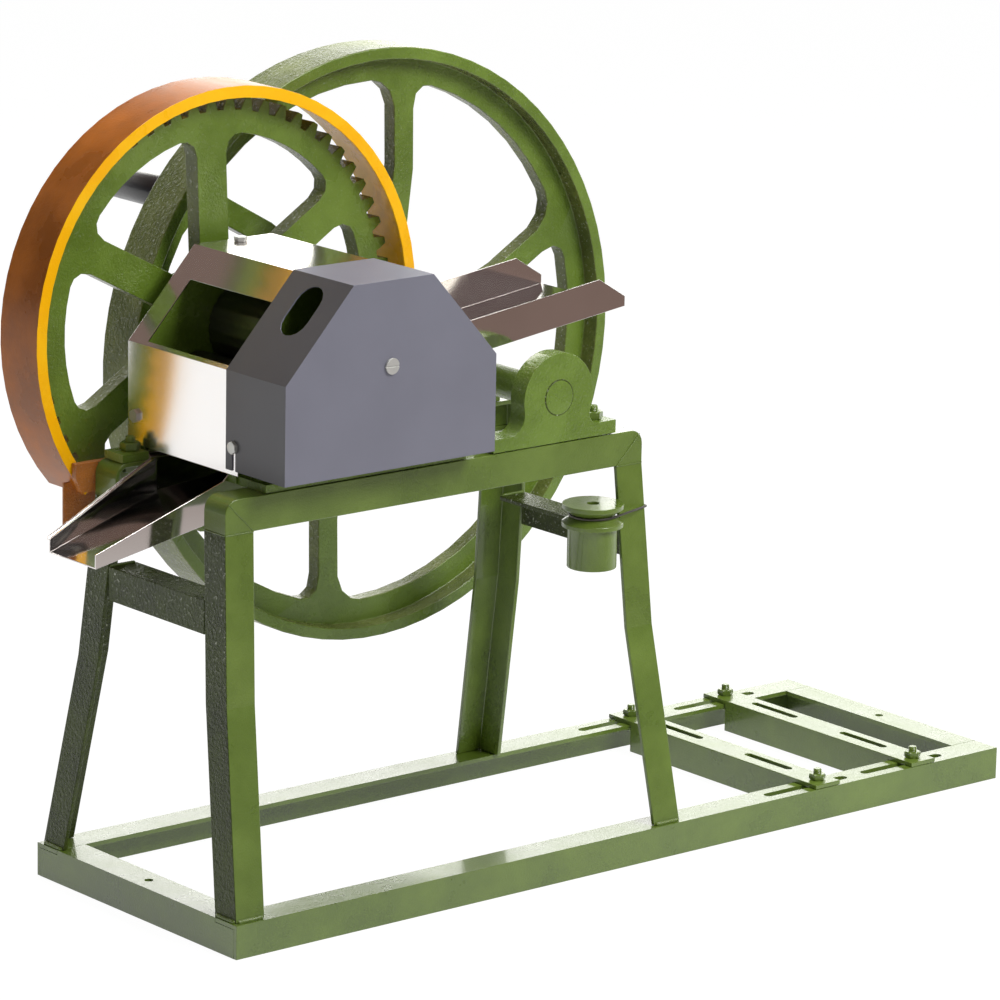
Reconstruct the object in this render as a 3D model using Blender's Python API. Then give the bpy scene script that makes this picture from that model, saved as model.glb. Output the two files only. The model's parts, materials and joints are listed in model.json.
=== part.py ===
"""Sugarcane mill: three fluted rollers between cast cheeks on an angle iron stand.

A flywheel shaft with a ten tooth pinion drives a big spur gear on the top roller's shaft, and three
small gears under the front cover carry the turn to the two lower rollers. A crank grip spins on the
flywheel, and two slotted rails on the base carry a motor. Constants are millimetres, meshes metres.
In the drawings X runs along the base, Y from the gear cover to the flywheel and Z up, from the
base's near left bottom corner. The finished part has its origin at the middle of its footprint.
"""
import math

import bmesh
import bpy
from mathutils import Matrix, Vector

MM = 0.001
GAP = 0.3                   # clearance between faces that touch on the real machine
RUN_GAP = 0.25              # radial clearance of a turning shaft in its bush
OVERLAP = 2.0               # how far cast or welded shapes reach into each other before they unite
ROUND = 24                  # facets of a round
HOLE_ROUND = 16             # facets of a bolt hole
BOLT_ROUND = 12             # facets of a bolt's shank
WELD = 0.002                # points this close after a cut are one point

# Angle iron and base
ANGLE = 38.0
ANGLE_T = 5.0
BASE_LENGTH = 1133.0
BASE_WIDTH = 368.0
END_HOLE_R = 5.0

# Stand: outer corner of the legs at foot, knee and top
STAND_TOP = 485.0
KNEE_HEIGHT = 262.0
FOOT_LEFT = 4.0
KNEE_LEFT = 21.0
TOP_LEFT = 31.0
FOOT_RIGHT = 633.0
KNEE_RIGHT = 621.0
TOP_RIGHT = 615.0
FOOT_INSET = 6.0
KNEE_INSET = 48.0
TOP_INSET = 66.0
CORNER_R = 16.0
TIE_DROP = 114.0            # ties' upper edge below the stand's top

# Motor rails and their slots
SLOT_W = 11.0
SLOT_LENGTH = 128.0
SLOT_SET = 357.0            # first slots' left end from the base's right end
SLOT_PITCH = 153.0
SLOT_BOLT = 82.0            # bolt's place in its slot
MOTOR_SLOT_W = 9.0
MOTOR_SLOT_LENGTH = 78.0
MOTOR_SLOT_PITCH = 156.0
HANGING_PLAY = 2.0          # end play of the hanging flange between the long rails

# Bolts: radius, width across flats, head height
M10 = (5.0, 17.0, 7.0)
M12 = (6.0, 20.0, 9.0)
THREAD_END = 6.0            # bolt end that stands out of its nut
BOLT_PLAY = 0.5             # radial play of a bolt in its hole

# Rollers and their gears
ROLLER_X = 221.5
ROLLER_RISE = 129.5         # top roller's axis above the stand
ROLLER_MODULE = 5.0
TOP_TEETH = 20
LOW_TEETH = 16
LOW_SPREAD = 66.0
NIP = 1.6
FLUTES = 24
FLUTE_DEPTH = 1.6
FLUTE_SHARE = 0.45          # part of the flute pitch that stays round
TOP_JOURNAL_R = 18.0
LOW_JOURNAL_R = 14.0
BUSH_T = 6.0
ROLLER_GEAR_SET = 39.0      # roller gears' back face from the near cheek
ROLLER_GEAR_W = 28.0
SHAFT_PROUD = 4.0           # shaft end that stands out of what it carries
ROLLER_PLAY = 1.0
PRESSURE = math.radians(20.0)
FLANK_CROWD = 1.5           # how far a tooth flank's points crowd to its foot
BACKLASH = 0.35

# Drive gear and pinion
DRIVE_MODULE = 8.0
GEAR_TEETH = 60
PINION_TEETH = 10
PINION_SHIFT = 0.2
ADDENDUM = 0.8
DEDENDUM = 1.0
SHAFT_DROP = 77.0
GEAR_SET = 36.0             # gear's front face from the far rail's outer face
GEAR_W = 22.0
GEAR_SPOKES = 6
GEAR_SPOKE_W = 40.0
GEAR_SPOKE_ANGLE = 92.5
GEAR_WINDOW_SET = (19.0, 27.0)  # windows' ends from the hub and from the tooth roots
GEAR_FILLETS = (8.0, 22.0)
FILLET_TURNS = (0.0, 25.0, 55.0, 90.0)
SPOKE_POINTS = (0.33, 0.67)  # shares of a spoke's length where its edge has points
GEAR_HUB_R = 46.0
GEAR_HUB_PROUD = 14.0
PINION_W = 28.0
KEY_W = 10.0
KEY_DEPTH = 4.0
FLY_SHAFT_R = 18.0

# Flywheel
FLY_R = 346.0
FLY_ROUND = 3 * ROUND       # facets of the rim
FLY_SET = 28.0              # rim's front face from the big gear's back
FLY_W = 60.0
FLY_RIM_T = 14.0
FLY_WEB_T = 20.0
FLY_WEB_SET = 22.0
FLY_SPOKES = 6
FLY_SPOKE_ANGLE = 81.0
FLY_SPOKE_W = 29.0
FLY_SWIRL = 14.0
FLY_WINDOW_SET = (12.0, 27.0)   # windows' ends from the hub and from the rim
FLY_FILLETS = (9.0, 30.0)
FLY_HUB_R = 50.0
FLY_HUB_PROUD = 27.0

# Crank
CRANK_SET = 34.0            # pin's axis from the rim's inner face
CRANK_ANGLE = FLY_SPOKE_ANGLE + 360.0 / FLY_SPOKES
CRANK_NUT = (8.0, 24.0, 10.0)
CRANK_COLLAR = (14.0, 6.0)
CRANK_PIN_R = 9.5
CRANK_HEAD = (14.5, 5.0)
GRIP_R = 18.5
GRIP_BORE_R = 10.0
GRIP_LENGTH = 155.0
GRIP_PLAY = 0.6
GRIP_ROUND = 3.0

# Cheeks and shaft bearings
WEB_T = 14.0
NEAR_WEB_SET = 65.0         # near web's back from the near rail's outer face
# Places along the base of feet and bolts, from the top roller's axis
CHEEK_FOOT_SET = {"near": (-135.5, 138.5), "far": (-179.5, 166.5)}
CHEEK_FOOT_T = 9.0
CHEEK_BOLT_SET = {"near": (-82.5, 118.5), "far": (-157.5, 155.5)}
BEARING_R = 50.0
BEARING_W = 24.0
BEARING_HUB_R = 34.0
BEARING_FOOT_SET = (176.5, 353.5)
BEARING_FOOT_T = 16.0
BEARING_BOLT_SET = 335.5
BEARING_FILLETS = (22.0, 12.0)

# Hood and gear cover
HOOD_REACH = (140.0, 143.5)  # hood's ends from the top roller's axis
HOOD_FLAT = (51.5, 55.5)    # ends of its flat top from the same axis
HOOD_LIFT = 10.5            # lower edge above the stand
HOOD_DROP = 5.5             # shoulders below the top roller's axis
HOOD_RISE = 91.5            # flat top above it
HOOD_PROUD = (5.0, 9.0)     # hood beyond the near and the far cheek's outer faces
SHEET = 1.6
MOUTH_SET = 8.0             # mouth's far edge from the far cheek
MOUTH_RISE = (0.04, 0.68)   # shares of the left shoulder that the mouth takes
FEED_RISE = 0.55            # share of the right shoulder that the feed mouth takes
HOOD_SCREW = (4.0, 13.0, 5.0)
HOOD_SCREW_SET = 32.5       # side screw above the hood's lower edge
HOOD_SCREW_LENGTH = 18.0
COVER_DEPTH = 104.0
COVER_LIFT = 16.0           # lower edge above the stand
HAND_HOLE = (64.0, 40.0)
HAND_HOLE_SET = 51.0
PLUG_R = 9.0
PLUG_NECK_R = 6.0
PLUG_HEAD = 2.5
NOTCH_R = 6.0
NOTCH_SET = 14.0
NOTCH_HEIGHT = 26.0

# Feed chute
CHUTE_SET = (6.0, 3.0)      # chute's walls from the near and the far cheek
CHUTE_REACH = (32.0, 281.0)  # chute's ends inside and outside the hood
CHUTE_DROP = 43.5           # its floor's inner end below the top roller's axis
CHUTE_SLOPE = 0.129
CHUTE_WALL = 38.0
CHUTE_LIP = 10.0
CHUTE_CHAMFER = 38.0

# Juice pan: spout outside the hood, tray under the rollers with a ledge on the far top rail
PAN_TIP = -90.0
PAN_TIP_DROP = 68.0         # tip below the stand's top
PAN_SLOPE = 0.19
PAN_TIP_WIDTH = 85.0
PAN_TIP_WALL = 14.0
PAN_LIP = 4.0
PAN_SPOUT_SET = 4.5         # spout's end before the hood
PAN_TRAY_SET = (3.5, 19.0)  # tray's ends inside the hood's
PAN_TRAY_SLOPE = 0.1
PAN_RIM = 8.0

# Gear guard
GUARD_ROOM = 14.6           # band's outside from the tooth tips
GUARD_LIP = 13.5
GUARD_T = 2.4
GUARD_PROUD = 20.0          # band beyond the gear's back
GUARD_OPEN = 12.0           # angle kept free at the pinion
GUARD_END = 221.0
GUARD_TAB_BOX = (-216.5, -160.5, -207.5, -157.5)  # from the gear's axis
GUARD_TAB_SET = 12.7        # tab's front face from the lip's
GUARD_TAB_T = 3.0
GUARD_STEPS = 40
BRACKET_ENDS = (-215.5, -129.5)  # from the gear's axis
BRACKET_DROP = (36.0, 3.0)  # below the stand's top

# Spare pulley tied to the near right leg
PULLEY_R = 35.0
PULLEY_GROOVE_R = 25.0
PULLEY_HUB_R = 28.0
PULLEY_DROP = 75.0          # top below the stand's top
PULLEY_HEIGHT = 73.0
PULLEY_RIM = 5.0
PULLEY_GROOVE_W = 16.0
PULLEY_BORE_R = 7.0
WIRE_R = 1.3

# Derived sizes
ROLLER_Z = STAND_TOP + ROLLER_RISE
TIE_TOP = STAND_TOP - TIE_DROP
PULLEY_TOP = STAND_TOP - PULLEY_DROP
CHEEK_FOOT = {face: [ROLLER_X + u for u in ends] for face, ends in CHEEK_FOOT_SET.items()}
CHEEK_BOLTS = {face: [ROLLER_X + u for u in ends] for face, ends in CHEEK_BOLT_SET.items()}
BEARING_FOOT = [ROLLER_X + u for u in BEARING_FOOT_SET]
BEARING_BOLT = ROLLER_X + BEARING_BOLT_SET
HOOD_LEFT = ROLLER_X - HOOD_REACH[0]
HOOD_RIGHT = ROLLER_X + HOOD_REACH[1]
HOOD_TOP_LEFT = ROLLER_X - HOOD_FLAT[0]
HOOD_TOP_RIGHT = ROLLER_X + HOOD_FLAT[1]
HOOD_BOTTOM = STAND_TOP + HOOD_LIFT
HOOD_SHOULDER = ROLLER_Z - HOOD_DROP
HOOD_TOP = ROLLER_Z + HOOD_RISE
HOOD_SCREW_Z = HOOD_BOTTOM + HOOD_SCREW_SET
COVER_BOTTOM = STAND_TOP + COVER_LIFT
CHUTE_START = HOOD_RIGHT - CHUTE_REACH[0]
CHUTE_END = HOOD_RIGHT + CHUTE_REACH[1]
CHUTE_FLOOR = ROLLER_Z - CHUTE_DROP
PAN_TIP_Z = STAND_TOP - PAN_TIP_DROP
PAN_SPOUT_END = HOOD_LEFT - PAN_SPOUT_SET
PAN_TRAY = HOOD_LEFT + PAN_TRAY_SET[0]
PAN_END = HOOD_RIGHT - PAN_TRAY_SET[1]
GUARD_TAB = (ROLLER_X + GUARD_TAB_BOX[0], ROLLER_X + GUARD_TAB_BOX[1],
             ROLLER_Z + GUARD_TAB_BOX[2], ROLLER_Z + GUARD_TAB_BOX[3])
BRACKET = (ROLLER_X + BRACKET_ENDS[0], ROLLER_X + BRACKET_ENDS[1],
           STAND_TOP - BRACKET_DROP[0], STAND_TOP - BRACKET_DROP[1])
TOP_PITCH_R = ROLLER_MODULE * TOP_TEETH / 2.0
LOW_PITCH_R = ROLLER_MODULE * LOW_TEETH / 2.0
LOW_Z = ROLLER_Z - math.sqrt((TOP_PITCH_R + LOW_PITCH_R) ** 2 - LOW_SPREAD ** 2)
FRONT_ROLLER_X = ROLLER_X - LOW_SPREAD
REAR_ROLLER_X = ROLLER_X + LOW_SPREAD
FAR_FACE = BASE_WIDTH - TOP_INSET
NEAR_WEB_BACK = TOP_INSET + NEAR_WEB_SET
NEAR_WEB_FRONT = NEAR_WEB_BACK - WEB_T
FAR_WEB_BACK = FAR_FACE
FAR_WEB_FRONT = FAR_WEB_BACK - WEB_T
HOOD_FRONT = NEAR_WEB_FRONT - HOOD_PROUD[0]
HOOD_BACK = FAR_WEB_BACK + HOOD_PROUD[1]
MOUTH_BACK = FAR_WEB_FRONT - MOUTH_SET
COVER_BACK = NEAR_WEB_BACK
COVER_FRONT = COVER_BACK - COVER_DEPTH
CHUTE_FRONT = NEAR_WEB_BACK + CHUTE_SET[0]
CHUTE_BACK = FAR_WEB_FRONT - CHUTE_SET[1]
ROLLER_GEAR_FRONT = NEAR_WEB_FRONT - ROLLER_GEAR_SET - ROLLER_GEAR_W
ROLLER_NEAR = NEAR_WEB_BACK + ROLLER_PLAY
ROLLER_FAR = FAR_WEB_FRONT - ROLLER_PLAY
GEAR_PITCH_R = DRIVE_MODULE * GEAR_TEETH / 2.0
PINION_PITCH_R = DRIVE_MODULE * PINION_TEETH / 2.0
MESH_ANGLE = -math.degrees(math.asin(SHAFT_DROP / (GEAR_PITCH_R + PINION_PITCH_R)))
SHAFT_X = ROLLER_X + math.sqrt((GEAR_PITCH_R + PINION_PITCH_R) ** 2 - SHAFT_DROP ** 2)
SHAFT_Z = ROLLER_Z - SHAFT_DROP
GEAR_FRONT = FAR_FACE + GEAR_SET
GEAR_BACK = GEAR_FRONT + GEAR_W
GEAR_MID = GEAR_FRONT + GEAR_W / 2.0
GEAR_WINDOW = (GEAR_HUB_R + GEAR_WINDOW_SET[0],
               GEAR_PITCH_R - DEDENDUM * DRIVE_MODULE - GEAR_WINDOW_SET[1])
FLY_FRONT = GEAR_BACK + FLY_SET
FLY_WINDOW = (FLY_HUB_R + FLY_WINDOW_SET[0], FLY_R - FLY_RIM_T - FLY_WINDOW_SET[1])
WEB_FRONT = FLY_FRONT + FLY_WEB_SET
WEB_BACK = WEB_FRONT + FLY_WEB_T
SLOT_LEFT = BASE_LENGTH - SLOT_SET
CRANK_R = FLY_R - FLY_RIM_T - CRANK_SET
CRANK_X = SHAFT_X + CRANK_R * math.cos(math.radians(CRANK_ANGLE))
CRANK_Z = SHAFT_Z + CRANK_R * math.sin(math.radians(CRANK_ANGLE))
CRANK_SEAT = WEB_BACK + GAP
GRIP_FRONT = CRANK_SEAT + CRANK_COLLAR[1] + GRIP_PLAY
GRIP_BACK = GRIP_FRONT + GRIP_LENGTH
CRANK_END = GRIP_BACK + GRIP_PLAY + CRANK_HEAD[1]
BOLT_SET = ANGLE / 2.0
RAIL_FLANGE_TOP = ANGLE + GAP + ANGLE_T
SPLIT = STAND_TOP - ANGLE   # height where the legs meet the top rails
FOOT_BOTTOM = STAND_TOP + GAP
GUARD_FRONT = HOOD_BACK + GAP
GUARD_BACK = GEAR_BACK + GUARD_PROUD
GUARD_R = GEAR_PITCH_R + ADDENDUM * DRIVE_MODULE + GUARD_ROOM
PAN_FRONT = NEAR_WEB_BACK + GAP
PAN_BACK = FAR_WEB_FRONT - GAP

# Footprint that sets the part's origin
LEFT_END = min(PAN_TIP, 0.0)
RIGHT_END = max(BASE_LENGTH, SHAFT_X + FLY_R)
BACK_END = max(CRANK_END, BASE_WIDTH)
ORIGIN = Vector(((LEFT_END + RIGHT_END) / 2.0, BACK_END / 2.0, 0.0))

FINISH = {
    "green": ((0.145, 0.235, 0.045), 0.42, 0.0),
    "cast_green": ((0.110, 0.165, 0.045), 0.50, 0.0),
    "yellow": ((0.90, 0.42, 0.01), 0.40, 0.0),
    "orange": ((0.35, 0.12, 0.02), 0.60, 0.0),
    "mirror": ((0.62, 0.62, 0.62), 0.10, 1.0),
    "satin": ((0.17, 0.17, 0.20), 0.38, 0.9),
    "zinc": ((0.66, 0.66, 0.63), 0.35, 1.0),
    "bright": ((0.52, 0.52, 0.52), 0.28, 1.0),
    "iron": ((0.26, 0.26, 0.27), 0.55, 0.9),
    "bronze": ((0.45, 0.28, 0.10), 0.35, 1.0),
    "black": ((0.012, 0.012, 0.013), 0.35, 0.0),
}


def material(name, finish):
    """A Principled material of its own for one sub-part."""
    colour, roughness, metallic = FINISH[finish]
    mat = bpy.data.materials.new(name + "_finish")
    mat.use_nodes = True
    shader = mat.node_tree.nodes["Principled BSDF"]
    shader.inputs["Base Color"].default_value = (*colour, 1.0)
    shader.inputs["Roughness"].default_value = roughness
    shader.inputs["Metallic"].default_value = metallic
    mat.diffuse_color = (*colour, 1.0)
    return mat


def add(name, bm, finish, axis_at=(0.0, 0.0, 0.0), smooth=None):
    """Makes the sub-part's object from its drawing, with its origin at axis_at."""
    bmesh.ops.recalc_face_normals(bm, faces=bm.faces)
    centre = Vector(axis_at)
    for vert in bm.verts:
        vert.co = (vert.co - centre) * MM
    mesh = bpy.data.meshes.new(name)
    bm.to_mesh(mesh)
    bm.free()
    if smooth:
        mesh.shade_smooth()
        mesh.set_sharp_from_angle(angle=math.radians(smooth))
    mesh.materials.append(material(name, finish))
    obj = bpy.data.objects.new(name, mesh)
    obj.location = (centre - ORIGIN) * MM
    bpy.context.scene.collection.objects.link(obj)
    return obj


def at_axis(axis, u, v, w):
    """The point drawn at u, v and w along the axis."""
    return {"X": (w, u, v), "Y": (u, w, v), "Z": (u, v, w)}[axis]


def stacked(levels, axis="Y", holes=()):
    """Outlines one upon the other, each (outline, low, high, openings), with holes right through."""
    bm = bmesh.new()

    def ring(outline, w):
        return [bm.verts.new(at_axis(axis, u, v, w)) for u, v in outline]

    solids = []
    for outline, low, high, *openings in levels:
        loops = [outline, *openings]
        solids.append(([ring(loop, low) for loop in loops], [ring(loop, high) for loop in loops]))
    bores = ([ring(hole, levels[0][1]) for hole in holes], [ring(hole, levels[-1][2]) for hole in holes])
    for low_rings, high_rings in solids + [bores]:
        for a, b in zip(low_rings, high_rings):
            for i in range(len(a)):
                bm.faces.new((a[i - 1], a[i], b[i], b[i - 1]))
    caps = [solids[0][0] + bores[0]]
    caps += [below[1] + above[0] for below, above in zip(solids, solids[1:])]
    caps += [solids[-1][1] + bores[1]]
    for cap in caps:
        edges = [bm.edges.get((loop[i - 1], loop[i])) for loop in cap for i in range(len(loop))]
        bmesh.ops.triangle_fill(bm, edges=edges, use_beauty=True)
    return bm


def plate(outline, low, high, axis="Y", holes=()):
    """One outline with thickness."""
    return stacked([(outline, low, high)], axis, holes)


def loft(sections):
    """A solid through matching outlines of 3-D points, closed at both ends."""
    bm = bmesh.new()
    rings = [[bm.verts.new(point) for point in section] for section in sections]
    for a, b in zip(rings, rings[1:]):
        for i in range(len(a)):
            bm.faces.new((a[i - 1], a[i], b[i], b[i - 1]))
    bm.faces.new(rings[0])
    bm.faces.new(rings[-1])
    return bm


def turned(profile, u, v, axis="Y", facets=ROUND):
    """A ring turned round the axis through u, v from a closed profile of (radius, place)."""
    bm = bmesh.new()
    rings = []
    for radius, w in profile:
        rings.append([bm.verts.new(at_axis(axis, *point, w)) for point in circle(u, v, radius, facets)])
    for k in range(len(rings)):
        a, b = rings[k - 1], rings[k]
        for i in range(facets):
            bm.faces.new((a[i - 1], a[i], b[i], b[i - 1]))
    return bm


def combine(first, others, operation):
    """Unites the other solids with the first, or cuts them out of it."""
    solids = []
    for number, bm in enumerate([first] + list(others)):
        bmesh.ops.recalc_face_normals(bm, faces=bm.faces)
        mesh = bpy.data.meshes.new("blank%d" % number)
        bm.to_mesh(mesh)
        bm.free()
        solids.append(bpy.data.objects.new(mesh.name, mesh))
        bpy.context.scene.collection.objects.link(solids[-1])
    for tool in solids[1:]:
        modifier = solids[0].modifiers.new("combine", "BOOLEAN")
        modifier.operation = operation
        modifier.object = tool
    graph = bpy.context.evaluated_depsgraph_get()
    result = bmesh.new()
    result.from_mesh(solids[0].evaluated_get(graph).to_mesh())
    bmesh.ops.remove_doubles(result, verts=result.verts, dist=WELD)
    for solid in solids:
        mesh = solid.data
        bpy.data.objects.remove(solid)
        bpy.data.meshes.remove(mesh)
    return result


def unite(first, *others):
    return combine(first, others, "UNION")


def cut(first, *others):
    return combine(first, others, "DIFFERENCE")


def circle(u, v, radius, facets=ROUND, flats=False):
    """A round outline; with flats its facets, not its corners, lie at the radius."""
    reach = radius / math.cos(math.pi / facets) if flats else radius
    turns = [2.0 * math.pi * (i + 0.5) / facets for i in range(facets)]
    return [(u + reach * math.cos(t), v + reach * math.sin(t)) for t in turns]


def arc(u, v, radius, start, end, steps):
    """Points from the start angle to the end angle, in degrees."""
    angles = [math.radians(start + (end - start) * i / steps) for i in range(steps + 1)]
    return [(u + radius * math.cos(t), v + radius * math.sin(t)) for t in angles]


def hexagon(u, v, flats):
    return circle(u, v, flats / 2.0, 6, flats=True)


def box(u0, u1, v0, v1):
    return [(u0, v0), (u1, v0), (u1, v1), (u0, v1)]


def obround(u, v, length, width, along_v=False):
    """A slot outline with round ends, along u or along v."""
    half = (length - width) / 2.0
    points = arc(half, 0.0, width / 2.0, -90.0, 90.0, 8) + arc(-half, 0.0, width / 2.0, 90.0, 270.0, 8)
    if along_v:
        return [(u - q, v + p) for p, q in points]
    return [(u + p, v + q) for p, q in points]


def bolt(name, size, u, v, grip_low, grip_high):
    """Upright bolt with its nut: head below, shank through the clamped pieces, nut and thread end."""
    radius, flats, head = size
    shank = circle(u, v, radius, BOLT_ROUND)
    levels = [(hexagon(u, v, flats), grip_low - head, grip_low), (shank, grip_low, grip_high),
              (hexagon(u, v, flats), grip_high, grip_high + head),
              (shank, grip_high + head, grip_high + head + THREAD_END)]
    add(name, stacked(levels, "Z"), "green", (u, v, grip_low))


def angle_outline(u, v, su, sv):
    """Angle iron's section with its outer corner at u, v and its legs in the given directions."""
    points = ((0, 0), (ANGLE, 0), (ANGLE, ANGLE_T), (ANGLE_T, ANGLE_T), (ANGLE_T, ANGLE), (0, ANGLE))
    return [(u + su * p, v + sv * q) for p, q in points]


def leg_corner(side, face, z):
    """The leg's outer corner at height z: side is left or right, face is near or far."""
    line = {"left": (FOOT_LEFT, KNEE_LEFT, TOP_LEFT), "right": (FOOT_RIGHT, KNEE_RIGHT, TOP_RIGHT)}[side]
    if z < KNEE_HEIGHT:
        share = (z - ANGLE) / (KNEE_HEIGHT - ANGLE)
        x, inset = line[0] + share * (line[1] - line[0]), FOOT_INSET + share * (KNEE_INSET - FOOT_INSET)
    else:
        share = (z - KNEE_HEIGHT) / (SPLIT - KNEE_HEIGHT)
        x, inset = line[1] + share * (line[2] - line[1]), KNEE_INSET + share * (TOP_INSET - KNEE_INSET)
    return x, inset if face == "near" else BASE_WIDTH - inset


def base_rails():
    """Angle iron rectangle: long rails full length, end rails coped to fit between them."""
    slots = [obround(SLOT_LEFT + SLOT_LENGTH / 2.0 + i * SLOT_PITCH, 0.0, SLOT_LENGTH, SLOT_W)
             for i in range(2)]
    below, above = ANGLE - 2.0 * ANGLE_T, ANGLE + ANGLE_T
    for name, edge, inward in (("base_near_rail", 0.0, 1), ("base_far_rail", BASE_WIDTH, -1)):
        bar = plate(angle_outline(edge, ANGLE, inward, -1), 0.0, BASE_LENGTH, "X")
        row = edge + inward * BOLT_SET
        tools = [plate([(u, v + row) for u, v in slot], below, above, "Z") for slot in slots]
        add(name, cut(bar, *tools), "green")
    for name, edge, inward in (("base_left_rail", 0.0, 1), ("base_right_rail", BASE_LENGTH, -1)):
        reach = ANGLE_T + GAP
        bar = plate(angle_outline(edge, ANGLE, inward, -1), reach, BASE_WIDTH - reach)
        low, high = sorted((edge - inward * ANGLE_T, edge + inward * (ANGLE + ANGLE_T)))
        cope = box(low, high, ANGLE - ANGLE_T - GAP, above)
        tools = [plate(cope, 0.0, ANGLE + GAP), plate(cope, BASE_WIDTH - ANGLE - GAP, BASE_WIDTH)]
        hole = circle(edge + inward * BOLT_SET, BASE_WIDTH / 2.0, END_HOLE_R, 24)
        add(name, cut(bar, *tools, plate(hole, below, above, "Z")), "green")


def motor_rails():
    """Two sliding rails with slots for the motor's feet, and bolts through the base slots."""
    below, above = ANGLE - ANGLE_T, RAIL_FLANGE_TOP + ANGLE_T
    reach = ANGLE + HANGING_PLAY
    for i, side in enumerate(("left", "right")):
        bolt_x = SLOT_LEFT + SLOT_BOLT + i * SLOT_PITCH
        edge = bolt_x - BOLT_SET
        bar = plate(angle_outline(edge, RAIL_FLANGE_TOP, 1, -1), 0.0, BASE_WIDTH)
        notch = box(edge - ANGLE_T, edge + 2.0 * ANGLE_T, 0.0, ANGLE + GAP)
        tools = [plate(notch, -ANGLE_T, reach), plate(notch, BASE_WIDTH - reach, BASE_WIDTH + ANGLE_T)]
        for sign in (-1, 1):
            slot = obround(bolt_x + ANGLE_T / 2.0, (BASE_WIDTH + sign * MOTOR_SLOT_PITCH) / 2.0,
                           MOTOR_SLOT_LENGTH, MOTOR_SLOT_W, along_v=True)
            tools.append(plate(slot, below, above, "Z"))
        rows = {"near": BOLT_SET, "far": BASE_WIDTH - BOLT_SET}
        for row in rows.values():
            hole = circle(bolt_x, row, M10[0] + BOLT_PLAY, HOLE_ROUND, flats=True)
            tools.append(plate(hole, below, above, "Z"))
        add("motor_rail_" + side, cut(bar, *tools), "green", (bolt_x, BASE_WIDTH / 2.0, ANGLE + GAP))
        for face, row in rows.items():
            bolt("motor_bolt_%s_%s" % (face, side), M10, bolt_x, row, ANGLE - ANGLE_T - GAP,
                 RAIL_FLANGE_TOP + GAP)


def tray(outer, inner, front, sheet_back, back):
    """A folded sheet or rail: front plate, and a flange that follows the outer line to the back."""
    bm = bmesh.new()

    def row(line, y):
        return [bm.verts.new((x, y, z)) for x, z in line]

    outer_front, outer_back = row(outer, front), row(outer, back)
    inner_front, inner_back = row(inner, sheet_back), row(inner, back)
    bm.faces.new(outer_front)
    bm.faces.new(inner_front)
    for i in range(len(outer) - 1):
        bm.faces.new((outer_front[i], outer_front[i + 1], outer_back[i + 1], outer_back[i]))
        bm.faces.new((inner_front[i], inner_front[i + 1], inner_back[i + 1], inner_back[i]))
        bm.faces.new((outer_back[i], outer_back[i + 1], inner_back[i + 1], inner_back[i]))
    bm.faces.new((outer_front[0], outer_front[-1], outer_back[-1], inner_back[-1],
                  inner_front[-1], inner_front[0], inner_back[0], outer_back[0]))
    return bm


def rail_line(depth):
    """The side frame's top line, depth inside its outer faces, with rounded corners."""
    radius, rise = CORNER_R - depth, STAND_TOP - CORNER_R
    left = arc(TOP_LEFT + CORNER_R, rise, radius, 180.0, 90.0, 5)
    right = arc(TOP_RIGHT - CORNER_R, rise, radius, 90.0, 0.0, 5)
    return [(TOP_LEFT + depth, SPLIT)] + left + right + [(TOP_RIGHT - depth, SPLIT)]


def stand():
    """Two kneed side frames of angle iron, tied across at their ends."""
    for face, y, inward in (("near", TOP_INSET, 1), ("far", FAR_FACE, -1)):
        rail = tray(rail_line(0.0), rail_line(ANGLE_T), y, y + inward * ANGLE_T, y + inward * ANGLE)
        row = y + inward * BOLT_SET
        holes = [plate(circle(x, row, M12[0] + BOLT_PLAY, HOLE_ROUND, flats=True),
                       STAND_TOP - 2.0 * ANGLE_T, STAND_TOP + ANGLE_T, "Z")
                 for x in (*CHEEK_BOLTS[face], BEARING_BOLT)]
        add(face + "_top_rail", cut(rail, *holes), "green")
        for side, outward in (("left", 1), ("right", -1)):
            sections = []
            for z in (ANGLE + GAP, KNEE_HEIGHT, SPLIT - GAP):
                x, corner_y = leg_corner(side, face, z)
                sections.append([(p, q, z) for p, q in angle_outline(x, corner_y, outward, inward)])
            add("%s_%s_leg" % (face, side), loft(sections), "cast_green" if side == "left" else "green")
    clear = leg_corner("left", "near", TIE_TOP)[1] + ANGLE + GAP
    for side, inward in (("left", 1), ("right", -1)):
        x = leg_corner(side, "near", TIE_TOP)[0]
        add(side + "_tie", plate(angle_outline(x, TIE_TOP, inward, -1), clear, BASE_WIDTH - clear),
            "cast_green")


def hood_line(inset, bottom):
    """The hood's cross-section line, inset from its outside, from lower left to lower right."""
    corners = [(HOOD_LEFT, HOOD_BOTTOM), (HOOD_LEFT, HOOD_SHOULDER), (HOOD_TOP_LEFT, HOOD_TOP),
               (HOOD_TOP_RIGHT, HOOD_TOP), (HOOD_RIGHT, HOOD_SHOULDER), (HOOD_RIGHT, HOOD_BOTTOM)]
    lines = []
    for (u0, v0), (u1, v1) in zip(corners, corners[1:]):
        length = math.hypot(u1 - u0, v1 - v0)
        a, b = (v1 - v0) / length, -(u1 - u0) / length
        lines.append((a, b, a * u0 + b * v0 + inset))
    points = [(HOOD_LEFT + inset, bottom)]
    for (a, b, e), (c, d, f) in zip(lines, lines[1:]):
        det = a * d - b * c
        points.append(((e * d - b * f) / det, (a * f - e * c) / det))
    return points + [(HOOD_RIGHT - inset, bottom)]


def bush(name, x, z, shaft_r, low, high):
    """Bronze ring between a shaft and its casting."""
    bore = circle(x, z, shaft_r + RUN_GAP, flats=True)
    add(name, plate(circle(x, z, shaft_r + BUSH_T), low, high, "Y", [bore]), "bronze", (x, low, z), 30)


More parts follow.
